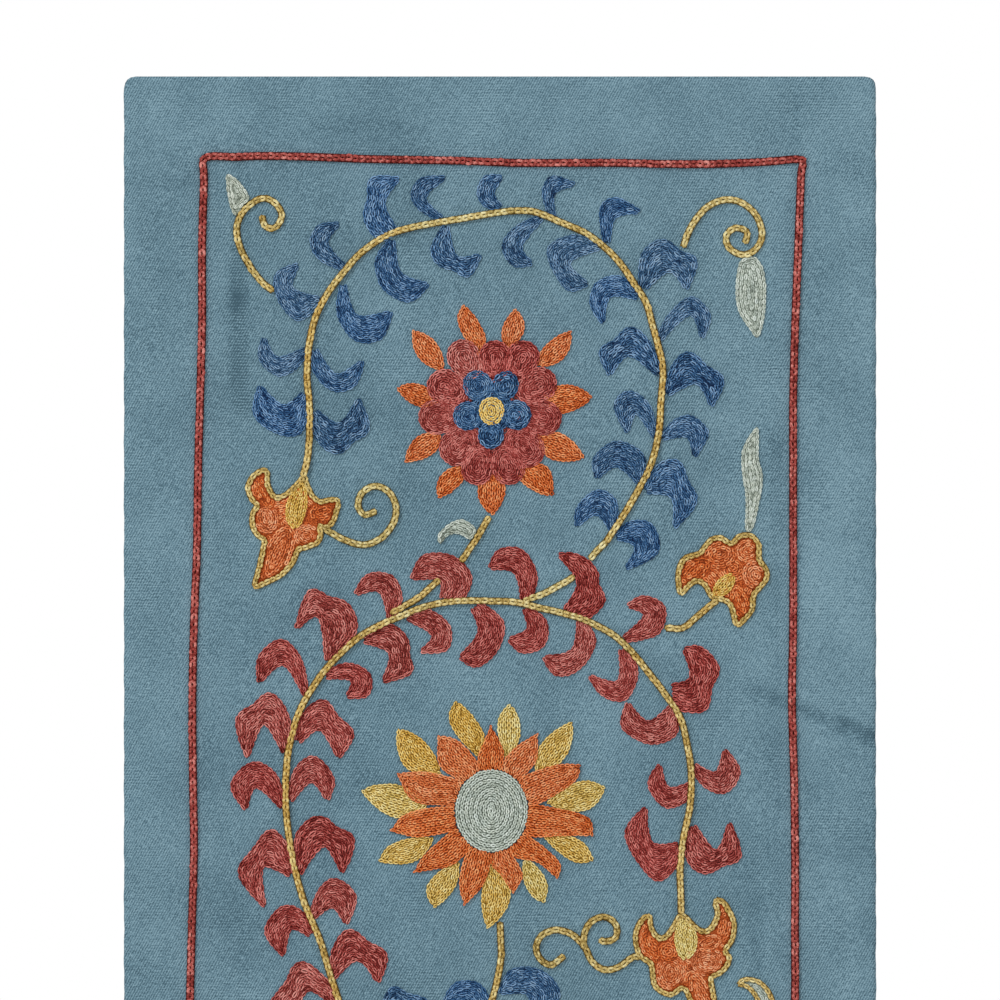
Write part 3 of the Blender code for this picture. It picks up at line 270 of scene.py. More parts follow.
# Round petals of the red ring: middle u, v, radius, warmth
RING_PETALS = (
    (463, 356, 17.0, 0.9), (495, 357, 17.0, 0.1), (523, 357, 17.0, 0.2), (540, 384, 17.5, 0.4),
    (544, 418, 18.0, 0.3), (527, 450, 18.5, 0.3), (509, 469, 16.5, 0.3), (477, 469, 16.5, 0.3),
    (457, 448, 18.5, 0.5), (436, 417, 18.0, 0.6), (444, 386, 17.5, 0.4),
)
# Petals of the blue flower: middle u, v, half length, half width
FLOWER_PETALS = (
    (478, 386, 15, 13.5), (505, 386, 14.5, 12.5), (516, 415, 14.5, 14), (491, 435, 13, 12),
    (468, 416, 14, 13.5),
)
# root u, v, left u, v, tip u, v, right u, v, warmth
PETALS_2_OUTER = (
    (479, 756, 449, 722, 456, 701, 484, 733, 0.1),
    (509, 763, 497, 724, 510, 704, 521, 729, 0.8),
    (536, 774, 540, 745, 572, 722, 566, 757, 0.4),
    (547, 803, 579, 781, 605, 788, 586, 811, 0.6),
    (541, 833, 579, 839, 593, 861, 571, 861, 0.3),
    (524, 857, 547, 881, 543, 903, 525, 886, 0.9),
    (489, 859, 511, 895, 487, 928, 481, 897, 0.3),
    (458, 861, 456, 886, 434, 907, 427, 885, 0.5),
    (433, 837, 416, 861, 379, 860, 394, 842, 0.4),
    (427, 805, 396, 818, 362, 790, 398, 784, 0.7),
    (441, 773, 406, 768, 398, 729, 425, 741, 0.1),
)
# side towards the last petal u, v, tip u, v, side towards the next petal u, v, warmth
PETALS_2_INNER = (
    (483, 743, 491, 725, 503, 748, 0.1),
    (519, 744, 538, 733, 537, 760, 0.7),
    (559, 764, 581, 765, 574, 783, 0.6),
    (587, 816, 593, 836, 566, 836, 0.3),
    (560, 862, 557, 879, 537, 862, 0.0),
    (523, 876, 513, 893, 499, 873, 0.5),
    (483, 886, 464, 905, 459, 881, 0.3),
    (450, 866, 413, 872, 426, 852, 0.2),
    (416, 837, 390, 830, 408, 812, 0.2),
    (413, 801, 397, 773, 425, 771, 0.6),
    (439, 765, 438, 735, 458, 740, 0.6),
)
# Discs: half width, half height
DISC_1 = (13.0, 14.5)
DISC_2 = (36.5, 41.5)

# Drooping flowers: the middle line of the gold outline, then the calyx.
CARNATION_1 = (
    (304, 477), (298, 484), (286, 495), (276, 497.5), (270, 491), (267, 481), (267, 471),
    (259, 472), (250, 481), (248.5, 491), (254, 502), (258, 505), (253, 514), (253, 527),
    (259, 536), (265, 540), (263, 551), (259, 570), (255, 586), (267, 582), (282, 574),
    (293, 562), (298, 550), (307, 547), (318, 542), (321, 533), (319, 526), (326, 527),
    (332, 523), (336, 513), (338, 501), (330, 500), (320, 502), (313, 497), (309, 490),
    (306, 483),
)
CARNATION_2 = (
    (713, 598), (705, 585), (696, 581), (687, 587), (681, 594), (678.5, 583), (679, 570),
    (685, 558), (699, 554), (705, 547), (711, 540), (721, 538), (731, 544), (739, 536.5),
    (750, 535.5), (758, 544), (759, 559), (766, 570), (766, 579), (759, 588), (753.5, 595),
    (752, 609), (745, 618.5), (737, 625), (733.5, 614), (730, 604), (722, 599),
)
CARNATION_3 = (
    (681, 915), (674, 927), (665, 938), (657, 937), (651, 928), (649, 916), (641, 922),
    (636, 934), (637, 947), (641, 957), (651, 964), (653, 975), (654, 984), (660, 991),
    (671, 995), (680, 989), (686, 990), (691, 1001), (699, 1018), (710, 1035), (716, 1016),
    (714, 1000), (712, 987), (711, 978), (720, 973), (727, 966), (729, 957), (725, 951),
    (732, 940), (734, 924), (729, 911), (723, 902), (715, 901), (718, 914), (713, 926),
    (706, 932), (697, 929), (689, 921),
)
# Calyxes: root u, v, left u, v, tip u, v, right u, v, warmth
CUPS = (
    (303, 480, 285.5, 507, 295, 528, 307.5, 508, 0.1),
    (713, 598, 716, 582, 732, 574.5, 731, 590.5, 0.15),
    (682, 918, 674, 940, 685, 959, 698, 939, 0.95),
)
# Parts of the fills: middle u, v, half length, half width, angle in degrees, warmth
PARTS_1 = (
    (286, 526, 16, 12, 60, 0.4), (278, 554, 31, 14, 114, 0.5), (307, 536, 14, 12, 20, 0.8),
    (266, 518, 16, 13, 75, 0.9), (264, 490, 20, 8, 68, 0.0), (324, 511, 15, 10, -18, 0.1),
)
PARTS_2 = (
    (733, 568, 15, 14, 0, 0.3), (756, 575, 15, 14, 60, 0.8), (720, 555, 17, 14, -20, 0.4),
    (748, 551, 13, 12, 0, 0.5), (695, 571, 18, 10, -38, 0.0), (740, 602, 19, 9, 70, 0.0),
)
PARTS_3 = (
    (689, 966, 14, 13, 90, 0.6), (701, 1000, 32, 13, 68, 0.5), (671, 973, 18, 16, 100, 0.7),
    (708, 962, 18, 15, 10, 1.0), (655, 946, 18, 10, 52, 0.0), (668, 952, 11, 10, 0, 0.1),
    (722, 929, 17, 9, -75, 0.4), (709, 943, 14, 8, -20, 0.5),
)
CARNATION_4_MOVE = (-3.0, 369.0)

# Curls, stalks and loose leaves.
CURL_TOP_LEFT = (
    (273, 291), (262, 282), (251, 268), (242, 252), (237, 236), (238, 221), (247, 207),
    (263, 198), (276, 204), (282, 216), (275, 228), (265, 226), (262, 216),
)
CURL_TOP_RIGHT = (
    (683, 247), (691, 227), (706, 208), (724, 200), (742, 203), (757, 217), (762, 236),
    (755, 250), (742, 255), (729, 248), (726, 236), (735, 228), (747, 232), (745, 243),
)
CURL_1 = (
    (324.5, 529.5), (328, 531), (343, 539), (362, 545), (380, 539), (393, 524), (396, 506),
    (388, 491), (374, 486), (362, 493), (358, 505), (364, 515), (376, 511),
)
CURL_3_LOW = (
    (634, 957), (618, 968), (604, 970), (592, 962), (584, 946), (571, 934), (555, 930),
    (541, 936), (536, 949), (542, 961), (552, 965), (564, 956),
)
CURL_3_HIGH = (
    (584, 949), (584, 936), (590, 923), (604, 917), (616, 925), (616, 938), (605, 942),
    (600, 940),
)
STALK_1 = (
    (391, 613), (408, 604), (420, 597), (428, 589.5), (439, 580), (461, 561), (470, 548),
    (478, 536), (485.5, 523), (489, 517),
)
STALK_2 = ((500, 922), (501, 945), (501, 959), (497, 981), (491, 1003), (485, 1017))
STALK_3 = ((511, 1322), (514, 1350), (509, 1380), (498, 1406), (487, 1427))
STALK_CARNATION_2 = (
    (665.5, 628.5), (670, 628), (683, 628), (699, 615), (712, 604), (717, 600.5),
)
LEAF_TOP_LEFT = (
    (226, 174), (236, 178), (245, 188), (250, 199), (243, 206), (237, 217), (230, 208), (227, 192),
)
LEAF_RIGHT_UPPER = (
    (739, 262), (752, 256), (761, 263), (766, 283), (766, 305), (763, 326), (757, 339),
    (748, 328), (738, 312), (735, 290),
)
LEAF_RIGHT_LOWER = (
    (757, 426), (759, 442), (759, 460), (763, 477), (759, 505), (753, 529), (745, 530),
    (745, 497), (741, 468), (743, 446),
)
LEAF_SMALL = (
    (437, 539), (439, 532), (445, 526.5), (453, 521), (461.5, 518.6), (471, 523), (477, 530),
    (474, 536.5), (470, 540.5), (463, 536.5), (456, 534), (448, 536.5), (443, 542), (440, 545),
)
CRESCENT = (
    (737, 986), (739, 979.5), (749, 977), (763, 982), (773, 995), (777, 1014), (772, 1038), (761, 1056),
    (757, 1040), (760, 1018), (756, 1001), (747, 989),
)


def bell(u, v, u0, v0, u1, v1, half):
    """1 on the line from u0, v0 to u1, v1 and softly down to 0 away from it."""
    du = u1 - u0
    dv = v1 - v0
    along = np.clip(((u - u0) * du + (v - v0) * dv) / (du * du + dv * dv), 0.0, 1.0)
    far = np.hypot(u - u0 - along * du, v - v0 - along * dv)
    return np.exp(-0.5 * (far / half) ** 2)


def cloth_lie(u, v):
    """How far the middle of the cloth lies to the back (+Y) at places on the grid."""
    u = np.asarray(u, float)
    v = np.asarray(v, float)
    rise = np.clip(((v - TOP_V) * STEP - FLAT_TOP) / FOLDS_GROW, 0.0, 1.0)
    rise = rise * rise * (3.0 - 2.0 * rise)
    total = np.zeros(np.broadcast(u, v).shape)
    for u0, v0, u1, v1, height, half in FOLDS:
        total += height * bell(u, v, u0, v0, u1, v1, half)
    total *= rise
    for u0, v0, u1, v1, depth, half, _ in CREASES:
        total += depth * bell(u, v, u0, v0, u1, v1, half)
    ripple = np.sin(u * 0.071 + 1.3 * np.sin(v * 0.023)) * np.sin(v * 0.047 + 0.9 * np.sin(u * 0.019))
    return total + RIPPLE * ripple * rise


def to_space(u, v, lift):
    """Points of the space over grid places, lift metres in front of the cloth's middle."""
    return np.stack([(u - MIDDLE_U) * STEP, cloth_lie(u, v) - lift, -(v - TOP_V) * STEP], axis=-1)


# Lines on the grid. Each is an array of points u, v.

def curve(points, per=6, closed=False):
    """A smooth line through the points, with per short pieces between two of them."""
    p = np.asarray(points, float)
    count = len(p)
    last = count if closed else count - 1
    at = np.arange(last)[:, None] + np.arange(-1, 3)[None, :]
    at = at % count if closed else np.clip(at, 0, count - 1)
    q = p[at]
    t = np.linspace(0.0, 1.0, per, endpoint=False)[None, :, None]
    line = (
        q[:, 0, None] * (-0.5 * t + t * t - 0.5 * t ** 3)
        + q[:, 1, None] * (1.0 - 2.5 * t * t + 1.5 * t ** 3)
        + q[:, 2, None] * (0.5 * t + 2.0 * t * t - 1.5 * t ** 3)
        + q[:, 3, None] * (-0.5 * t * t + 0.5 * t ** 3)
    ).reshape(-1, 2)
    return line if closed else np.vstack([line, p[-1]])


def lengths(line):
    """The length along a line up to each of its points."""
    return np.concatenate([[0.0], np.cumsum(np.hypot(*np.diff(line, axis=0).T))])


def read_at(want, at, values):
    """Both columns of the values at lengths along a line."""
    return np.interp(want, at, values[:, 0]), np.interp(want, at, values[:, 1])


def evenly(line, count):
    """The line as count points at even distances."""
    at = lengths(line)
    return np.stack(read_at(np.linspace(0.0, at[-1], count), at, line), axis=1)


def evenly_round(shape, count):
    """A closed outline as count - 1 points at even distances."""
    return evenly(np.vstack([shape, shape[:1]]), count)[:-1]


def moved(points, du, dv):
    """The points, moved over the grid."""
    return [(p[0] + du, p[1] + dv) for p in points]


def side_ways(line):
    """The unit directions square to the line at its points."""
    along = np.gradient(line, axis=0)
    along /= np.maximum(np.hypot(along[:, 0], along[:, 1]), 1e-9)[:, None]
    return np.stack([-along[:, 1], along[:, 0]], axis=1)


def inward(shape):
    """The unit directions to the inside, square to a closed outline at its points."""
    ways = side_ways(np.vstack([shape[-1:], shape, shape[:1]]))[1:-1]
    after = np.roll(shape, -1, axis=0)
    turn = (shape[:, 0] * after[:, 1] - shape[:, 1] * after[:, 0]).sum()
    return ways if turn > 0 else -ways


def inside(shape, points):
    """Whether each point lies inside the closed outline."""
    u, v = points[:, 0][:, None], points[:, 1][:, None]
    a, b = shape, np.roll(shape, -1, axis=0)
    spans = (a[:, 1] > v) != (b[:, 1] > v)
    drop = np.where(np.abs(b[:, 1] - a[:, 1]) < 1e-9, 1e-9, b[:, 1] - a[:, 1])
    return (spans & (u < a[:, 0] + (v - a[:, 1]) * (b[:, 0] - a[:, 0]) / drop)).sum(axis=1) % 2 == 1


def edge_distance(shape, points):
    """The distance of each point from the closed outline."""
    a, b = shape, np.roll(shape, -1, axis=0)
    d = b - a
    size = np.maximum((d * d).sum(axis=1), 1e-9)
    t = np.clip(((points[:, None] - a) * d).sum(axis=2) / size, 0.0, 1.0)
    near = a + t[..., None] * d
    return np.hypot(*(points[:, None] - near).transpose(2, 0, 1)).min(axis=1)


def places_inside(shape, cell, start=0.0):
    """The places of a square grid that lie inside a closed outline."""
    low, high = shape.min(axis=0) + start, shape.max(axis=0)
    sides = (np.arange(a, b, cell) for a, b in zip(low, high))
    grid = np.stack(np.meshgrid(*sides), axis=-1).reshape(-1, 2)
    return grid[inside(shape, grid)]


# Pieces


def new_mesh(name, verts, faces, corners=()):
    """A smooth mesh of four-sided faces, and of the triangles in corners."""
    three = np.vstack(corners) if len(corners) else np.zeros((0, 3), int)
    places = np.concatenate([faces.ravel(), three.ravel()])
    starts = np.concatenate([np.arange(len(faces)) * 4, faces.size + np.arange(len(three)) * 3])
    mesh = bpy.data.meshes.new(name)
    mesh.vertices.add(len(verts))
    mesh.vertices.foreach_set("co", verts.ravel())
    mesh.loops.add(len(places))
    mesh.loops.foreach_set("vertex_index", places.astype(np.int32))
    mesh.polygons.add(len(starts))
    mesh.polygons.foreach_set("loop_start", starts.astype(np.int32))
    mesh.polygons.foreach_set("use_smooth", np.ones(len(starts), dtype=bool))
    mesh.update(calc_edges=True)
    return mesh


def keep_values(mesh, key, values):
    """Keeps one number for each point of the mesh, for its material."""
    mesh.attributes.new(key, "FLOAT", "POINT").data.foreach_set("value", values.astype(np.float32))


def placed(name, data):
    """A new object in the scene."""
    made = bpy.data.objects.new(name, data)
    bpy.context.scene.collection.objects.link(made)
    return made


# Thread work. A row is a line, its width at each point, and whether it is closed.

# One chain stitch: along its length, across, and up, for the points of its loop.
LOOP = np.array([
    (-0.10, 0.00, -0.55), (0.20, 0.62, 0.05), (0.56, 1.00, 0.40), (0.90, 0.80, 0.50),
    (1.10, 0.00, 0.42), (0.90, -0.80, 0.50), (0.56, -1.00, 0.40), (0.20, -0.62, 0.05),
])
# Painted shade and highlight along a loop: dim at its root and end, where it dips, and light along its
# high sides.
LOOP_SHADING = np.array([-0.24, -0.07, 0.12, 0.06, -0.07, 0.06, 0.12, -0.07])
LOOP_POINTS = len(LOOP)
THREAD_SIDES = 4
THREAD_FLAT = 0.82
# How much the stitches of a row differ: their length, width and height, and each point of a loop.
LONG_SPREAD = (0.86, 1.14)
WIDE_SPREAD = (0.93, 1.09)
HIGH_SPREAD = (0.0, 0.35)
POINT_SPREAD = (0.9, 1.1)
SHIFT_SPREAD = 0.035
STRAND_TONE_SPREAD = 0.09
WARM_SPREAD = 0.10
# The shortest row that is sewn, in stitches, and the limits of the thread's thickness.
SHORTEST_ROW = 0.45
THREAD_LIMITS = (0.72, 1.12)
# The bed: its height in thread thicknesses, and its steps in stitches.
BED_HIGH = 0.80
BED_STEP = 0.9
FACING = (0.0, -1.0, 0.0)
# Tones: what a stitch adds, and the painted shade that dims the bed and the ground under it, where they
# show between the loops.
STITCH_TONE = 0.05
BED_SHADE = 0.34
GROUND_SHADE = 0.36
PALE_GROUND_SHADE = 0.18
# The ground under a fill: its cells, its rim's steps, and how far both lie inside the outline.
PAD_CELL = 9.0
PAD_RIM_STEP = 3.5
PAD_IN = 0.7
PAD_RIM_CLEAR = 2.5


def unit(ways):
    """The directions, each one long."""
    return ways / np.maximum(np.linalg.norm(ways, axis=-1, keepdims=True), 1e-12)


class Work:
    """Collects the stitches of one piece of thread work, and makes its mesh."""

    def __init__(self):
        self.verts, self.faces, self.corners, self.tones, self.warms = [], [], [], [], []
        self.count = 0

    def add(self, verts, faces, tone, warm):
        """Adds points with their tone and warmth, and four-sided faces between them."""
        for kept, value in ((self.tones, tone), (self.warms, warm)):
            kept.append(np.broadcast_to(value, verts.shape[:-1]).ravel())
        self.verts.append(verts.reshape(-1, 3))
        self.faces.append(faces.reshape(-1, 4) + self.count)
        self.count += verts.size // 3

    def pad(self, shape, lift, tone, warm):
        """A thin dark ground under a whole shape, so that no cloth shows in its gaps; its low tone is
        painted shade in those gaps.
        """
        shape = evenly_round(shape, max(int(lengths(shape)[-1] / PAD_RIM_STEP), 10))
        shape = shape + PAD_IN * inward(shape)
        count = len(shape)
        grid = places_inside(shape, PAD_CELL, PAD_CELL / 2)
        grid = grid[edge_distance(shape, grid) > PAD_RIM_CLEAR]
        rim = [(k, (k + 1) % count) for k in range(count)]
        flat = [Vector(q) for q in np.vstack([shape, grid])]
        made, _, cells = delaunay_2d_cdt(flat, rim, [], 0, 0.001)[:3]
        made = np.array([tuple(q) for q in made])
        cells = np.array(cells)
        cells = cells[inside(shape, made[cells].mean(axis=1))]
        a, b, c = (made[cells[:, k]] for k in range(3))
        turn = (b[:, 0] - a[:, 0]) * (c[:, 1] - a[:, 1]) - (b[:, 1] - a[:, 1]) * (c[:, 0] - a[:, 0])
        cells[turn > 0] = cells[turn > 0][:, ::-1]
        edges = {(int(t[k]), int(t[(k + 1) % 3])) for t in cells for k in range(3)}
        rims = np.array([e for e in edges if (e[1], e[0]) not in edges])
        size = len(made)
        verts = np.vstack([to_space(*made.T, lift + PAD_THICK), to_space(*made.T, lift)])
        walls = np.stack([rims[:, 1], rims[:, 0], rims[:, 0] + size, rims[:, 1] + size], axis=1)
        self.corners.append(np.vstack([cells, cells[:, ::-1] + size]) + self.count)
        self.add(verts, walls, tone, warm)

    def row(self, line, kind, lift, tone, warm, width=None, closed=False, bed=True):
        """One row of chain stitches along a line, on a low bed of the same thread."""
        base_width, pitch, thread, uneven = kind
        width = np.broadcast_to(base_width if width is None else width, len(line))
        if closed:
            line = np.vstack([line, line[:1]])
            width = np.append(width, width[0])
        at = lengths(line)
        long = at[-1]
        if long < SHORTEST_ROW * pitch:
            return
        count = max(int(round(long / pitch)), 1)
        if closed:
            line = np.vstack([line, line[1:4]])
            width = np.append(width, width[1:4])
            at = lengths(line)
        share = np.cumsum(rng.uniform(*LONG_SPREAD, count))
        starts = np.concatenate([[0.0], share / share[-1]]) * long
        want = starts[:-1, None] + np.diff(starts)[:, None] * LOOP[None, :, 0]
        wide = np.interp(want, at, width) * rng.uniform(*WIDE_SPREAD, (count, 1))
        radius = thread * np.clip(wide / base_width, *THREAD_LIMITS)
        half = np.maximum(wide / 2 - radius, 0.35 * radius)
        shift = rng.normal(0.0, SHIFT_SPREAD * base_width, (count, 1))
        off = shift + half * LOOP[None, :, 1] * rng.uniform(*POINT_SPREAD, (count, LOOP_POINTS))
        high = 1.0 + 0.75 * LOOP[None, :, 2] + rng.uniform(*HIGH_SPREAD, (count, 1))
        rise = radius * THREAD_FLAT * high
        u, v = read_at(want, at, line)
        du, dv = read_at(want, at, side_ways(line))
        middle = to_space(u + off * du, v + off * dv, lift + rise * STEP)
        self.strands(middle, radius * STEP, tone, warm, uneven)
        if bed:
            self.bed(line, width, long, kind, lift, tone, warm)

    def strands(self, middle, radius, tone, warm, uneven):
        """Closed loops of thread through the points middle[loop, point]."""
        count = len(middle)
        along = unit(np.roll(middle, -1, axis=1) - np.roll(middle, 1, axis=1))
        side = unit(np.cross(along, FACING))
        top = np.cross(side, along)
        turn = 2 * np.pi * (np.arange(THREAD_SIDES)[:, None] + 0.5) / THREAD_SIDES
        r = radius[:, :, None, None]
        ring = (
            middle[:, :, None] + r * np.cos(turn) * side[:, :, None]
            + THREAD_FLAT * r * np.sin(turn) * top[:, :, None])
        index = np.arange(count * LOOP_POINTS * THREAD_SIDES).reshape(count, LOOP_POINTS, THREAD_SIDES)
        after = np.roll(index, -1, axis=1)
        faces = np.stack([index, np.roll(index, -1, axis=2), np.roll(after, -1, axis=2), after], axis=-1)
        own = tone + STITCH_TONE + rng.normal(0.0, uneven, (count, 1, 1))
        own = own + rng.normal(0.0, 0.8 * uneven, (count, 1, 1)) * LOOP[None, :, 1, None]
        # Random tone of each strand, plus the painted shade and highlight along its loop.
        strand = rng.normal(0.0, STRAND_TONE_SPREAD, (count, LOOP_POINTS, 1)) + LOOP_SHADING[None, :, None]
        self.add(ring, faces, own + strand, warm + rng.normal(0.0, WARM_SPREAD, (count, 1, 1)))

    def bed(self, line, width, long, kind, lift, tone, warm):
        """The low ridge of thread under a row, dimmed as painted shade where it shows between the loops.
        """
        _, pitch, thread, _ = kind
        at = lengths(line)
        want = np.linspace(0.0, long, max(int(math.ceil(long / (BED_STEP * pitch))), 1) + 1)
        u, v = read_at(want, at, line)
        du, dv = read_at(want, at, side_ways(line))
        half = np.interp(want, at, width) * 0.50
        low = lift + PAD_LIFT
        ring = np.stack([
            to_space(u - du * half, v - dv * half, low), to_space(u, v, lift + BED_HIGH * thread * STEP),
            to_space(u + du * half, v + dv * half, low), to_space(u, v, low - PAD_LIFT)], axis=1)
        index = np.arange(4 * len(want)).reshape(-1, 4)
        a, b = index[:-1], index[1:]
        faces = np.stack([a, b, np.roll(b, -1, axis=1), np.roll(a, -1, axis=1)], axis=-1).reshape(-1, 4)
        caps = np.stack([index[0], index[-1, ::-1]])
        self.add(ring, np.vstack([faces, caps]), tone - BED_SHADE, warm)

    def make(self, name, thread, *nodes):
        """The stitches as one piece that stands for the named solids, or for the one of its own name."""
        mesh = new_mesh(name + "_stitches", np.vstack(self.verts), np.vstack(self.faces), self.corners)
        keep_values(mesh, "tone", np.concatenate(self.tones))
        keep_values(mesh, "warm", np.concatenate(self.warms))
        mesh.materials.append(silk[thread])
        made = placed(name + "_stitches", mesh)
        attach(made, "root")
        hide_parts(*(nodes or (name,)))


# Fills

ROW_POINTS = 60
RING_STEP = 2.2
RING_CELL = 1.6
MOST_RINGS = 40
RING_CLEAR = 0.90
RING_OVERLAP = 1.04
ROW_OVERLAP = 1.04
ROW_TONE_SPREAD = 0.05
ROW_LIFT_SPREAD = 0.00008
# Rows between two edges, in row widths: the part of a row that is sewn, and the limits of its width.
ROW_START = 0.30
ROW_SEWN = 0.55
ROW_LIMITS = (0.6, 1.25)
ONE_ROW = 1.6
ONE_ROW_FILL = 0.95
ONE_ROW_LEAST = 0.62


def cut(line, width, closed, keep, least):
    """The kept stretches of a row, each with at least so many points."""
    if keep.all():
        return [(line, width, closed)]
    order = np.arange(len(line))
    if closed:
        order = np.roll(order, -int(np.argmin(keep)))
    parts = np.split(order, np.flatnonzero(np.diff(keep[order].astype(int))) + 1)
    return [(line[part], width[part], False) for part in parts if keep[part[0]] and len(part) >= least]


def halving_order(count):
    """Numbers below count, the first and the last first, then those half way between, and so on."""
    order = [0, count - 1]
    step = count - 1
    while len(set(order)) < count:
        step = step / 2
        order += [int(round(x)) for x in np.arange(step, count - 1, step)]
    return list(dict.fromkeys(order))


def rows_between(edge_a, edge_b, kind):
    """Rows that run along a shape from one end to the other, between its two edges."""
    base = kind[0]
    a = evenly(edge_a, ROW_POINTS)
    b = evenly(edge_b, ROW_POINTS)
    wide = np.hypot(*(b - a).T)
    fit = wide / base
    most = max(int(round(fit.max())), 1)
    order = halving_order(most)
    there = np.array([np.clip(fit - order.index(row) + ROW_START, 0.0, 1.0) for row in range(most)])
    there[0] = np.maximum(there[0], 1e-3)
    total = there.sum(axis=0)
    place = (np.cumsum(there, axis=0) - 0.5 * there) / total
    rows = []
    for row in range(most):
        line = a + (b - a) * place[row][:, None]
        width = wide * there[row] / total * ROW_OVERLAP
        keep = (there[row] > ROW_SEWN) & (width > 0.5 * base)
        if row == 0:
            alone = wide < ONE_ROW * base
            keep |= alone
            width = np.where(alone, np.maximum(wide * ONE_ROW_FILL, ONE_ROW_LEAST * base), width)
        rows += cut(line, np.clip(width, *(limit * base for limit in ROW_LIMITS)), False, keep, 3)
    return rows


def rings_inside(shape, kind, first=0.5):
    """Rows that follow a closed outline round and round inside it."""
    shape = evenly_round(shape, max(int(lengths(shape)[-1] / RING_STEP), 24))
    ways = inward(shape)
    rim = (first - 0.5) * kind[0]
    reach = edge_distance(shape, places_inside(shape, RING_CELL)).max() - rim
    step = reach / max(round(reach / kind[0]), 1)
    rows = []
    for k in range(MOST_RINGS):
        deep = rim + (k + 0.5) * step
        line = shape + ways * deep
        keep = inside(shape, line) & (edge_distance(shape, line) > RING_CLEAR * deep)
        if not keep.any():
            break
        rows += cut(line, np.full(len(line), step * RING_OVERLAP), True, keep, 3)
    return rows


def clipped(rows, within, margin, without):
    """The parts of the rows that lie in one outline, at least margin from it, and in no other."""
    out = []
    for line, width, closed in rows:
        keep = inside(within, line) & (edge_distance(within, line) > margin)
        for shape in without:
            keep &= ~inside(shape, line)
        out += cut(line, width, closed, keep, 2)
    return out


def sew(work, rows, kind, lift, tone=0.5, warm=0.5):
    """Sews the rows of a fill, with a little difference of tone from row to row."""
    for line, width, closed in rows:
        if rng.random() < 0.5 and not closed:
            line, width = line[::-1], width[::-1]
        own = tone + rng.normal(0.0, ROW_TONE_SPREAD)
        high = lift + rng.uniform(0.0, ROW_LIFT_SPREAD)
        work.row(line, kind, high, own, warm, width, closed, bed=False)


def fill_between(work, a, b, kind, lift, tone=0.5, warm=0.5):
    """A ground of painted shade and lengthwise rows between two edges."""
    work.pad(np.vstack([a, b[::-1]]), lift + PAD_LIFT, tone - GROUND_SHADE, warm)
    sew(work, rows_between(a, b, kind), kind, lift, tone, warm)


def fill_round(work, shape, kind, lift, tone=0.5, warm=0.5, pad_shade=GROUND_SHADE):
    """A ground of painted shade and rows that go round and round in a closed outline."""
    work.pad(shape, lift + PAD_LIFT, tone - pad_shade, warm)
    sew(work, rings_inside(shape, kind), kind, lift, tone, warm)


# Shapes

LEAF_TIP_HALF = 2.2
LEAF_SWELL = 0.8
NOTCH_PULL = 0.19
NOTCH_HALF = 2.6


def two_sides(end, side, inner, half):
    """The points left and right of a leaf's end, the first on the same side as side."""
    way = end - (side + inner) / 2
    across = np.array([-way[1], way[0]]) * half / np.hypot(*way)
    if across @ (side - inner) < 0:
        across = -across
    return end + across, end - across


def leaf_edges(row, du=0.0, dv=0.0):
    """The outer and the inner edge of a hooked leaf, both from its base to its tip."""
    base, one, two, three, tip, inner = (np.array(row[k:k + 2]) + (du, dv) for k in range(0, 12, 2))
    notch, base_half = row[12:]
    base_out, base_in = two_sides(base, one, inner, base_half)
    tip_out, tip_in = two_sides(tip, three, inner, LEAF_TIP_HALF)
    outer = curve((base_out, one, two, three, tip_out), 8)
    if notch:
        at = 8 * notch + 4
        for k in range(-5, 6):
            outer[at + k] += NOTCH_PULL * math.exp(-(k / NOTCH_HALF) ** 2) * (inner - outer[at + k])
    middle = (base + one + two + three + tip + inner) / 6
    outer += LEAF_SWELL * (outer - middle) / np.hypot(*(outer - middle).T)[:, None]
    return outer, curve((base_in, inner, tip_in), 10)


def petal_edges(root, left, tip, right, blunt=False):
    """The two edges of a pointed or blunt petal, each from its root to its tip."""
    axis = tip - root
    size = np.hypot(*axis)
    way = axis / size
    side = np.array([-way[1], way[0]])
    x = np.linspace(0.0, 1.0, 25)
    edges = []
    for belly in (left, right):
        at = np.clip((belly - root) @ way / size, 0.2, 0.85)
        low = np.sin(0.5 * np.pi * np.clip(x / at, 0.0, 1.0)) ** 0.8
        late = np.clip((x - at) / (1.0 - at), 0.0, 1.0)
        high = np.sqrt(1.0 - 0.96 * late ** 2) if blunt else np.cos(0.5 * np.pi * late) ** 0.8
        off = (belly - root) @ side * np.where(x < at, low, high)
        edges.append(root + np.outer(x * size, way) + np.outer(off, side))
    return edges


def oval(u, v, half_long, half_wide, angle=0.0, count=48):
    """A closed oval, its long half turned by an angle in degrees."""
    a = np.linspace(0.0, 2 * np.pi, count, endpoint=False)
    c, s = math.cos(math.radians(angle)), math.sin(math.radians(angle))
    x, y = half_long * np.cos(a), half_wide * np.sin(a)
    return np.stack([u + x * c - y * s, v + x * s + y * c], axis=1)


def egg(u, v, radius, middle, reach):
    """A round petal whose narrow end points to the flower's middle."""
    a = np.linspace(0.0, 2 * np.pi, 48, endpoint=False)
    toward = np.cos(a - math.atan2(middle[1] - v, middle[0] - u))
    far = radius + np.where(toward > 0, reach * toward ** 3, 0.0)
    return np.stack([u + far * np.cos(a), v + far * np.sin(a)], axis=1)


# Materials

def new_material(name):
    """A material, its nodes and its shader."""
    made = bpy.data.materials.new(name)
    made.use_nodes = True
    return made, made.node_tree, made.node_tree.nodes["Principled BSDF"]


def node(tree, kind, **values):
    """A new node; keys are inputs by name, or the node's own settings."""
    made = tree.nodes.new(kind)
    for key, value in values.items():
        if key in made.inputs:
            made.inputs[key].default_value = value
        else:
            setattr(made, key, value)
    return made


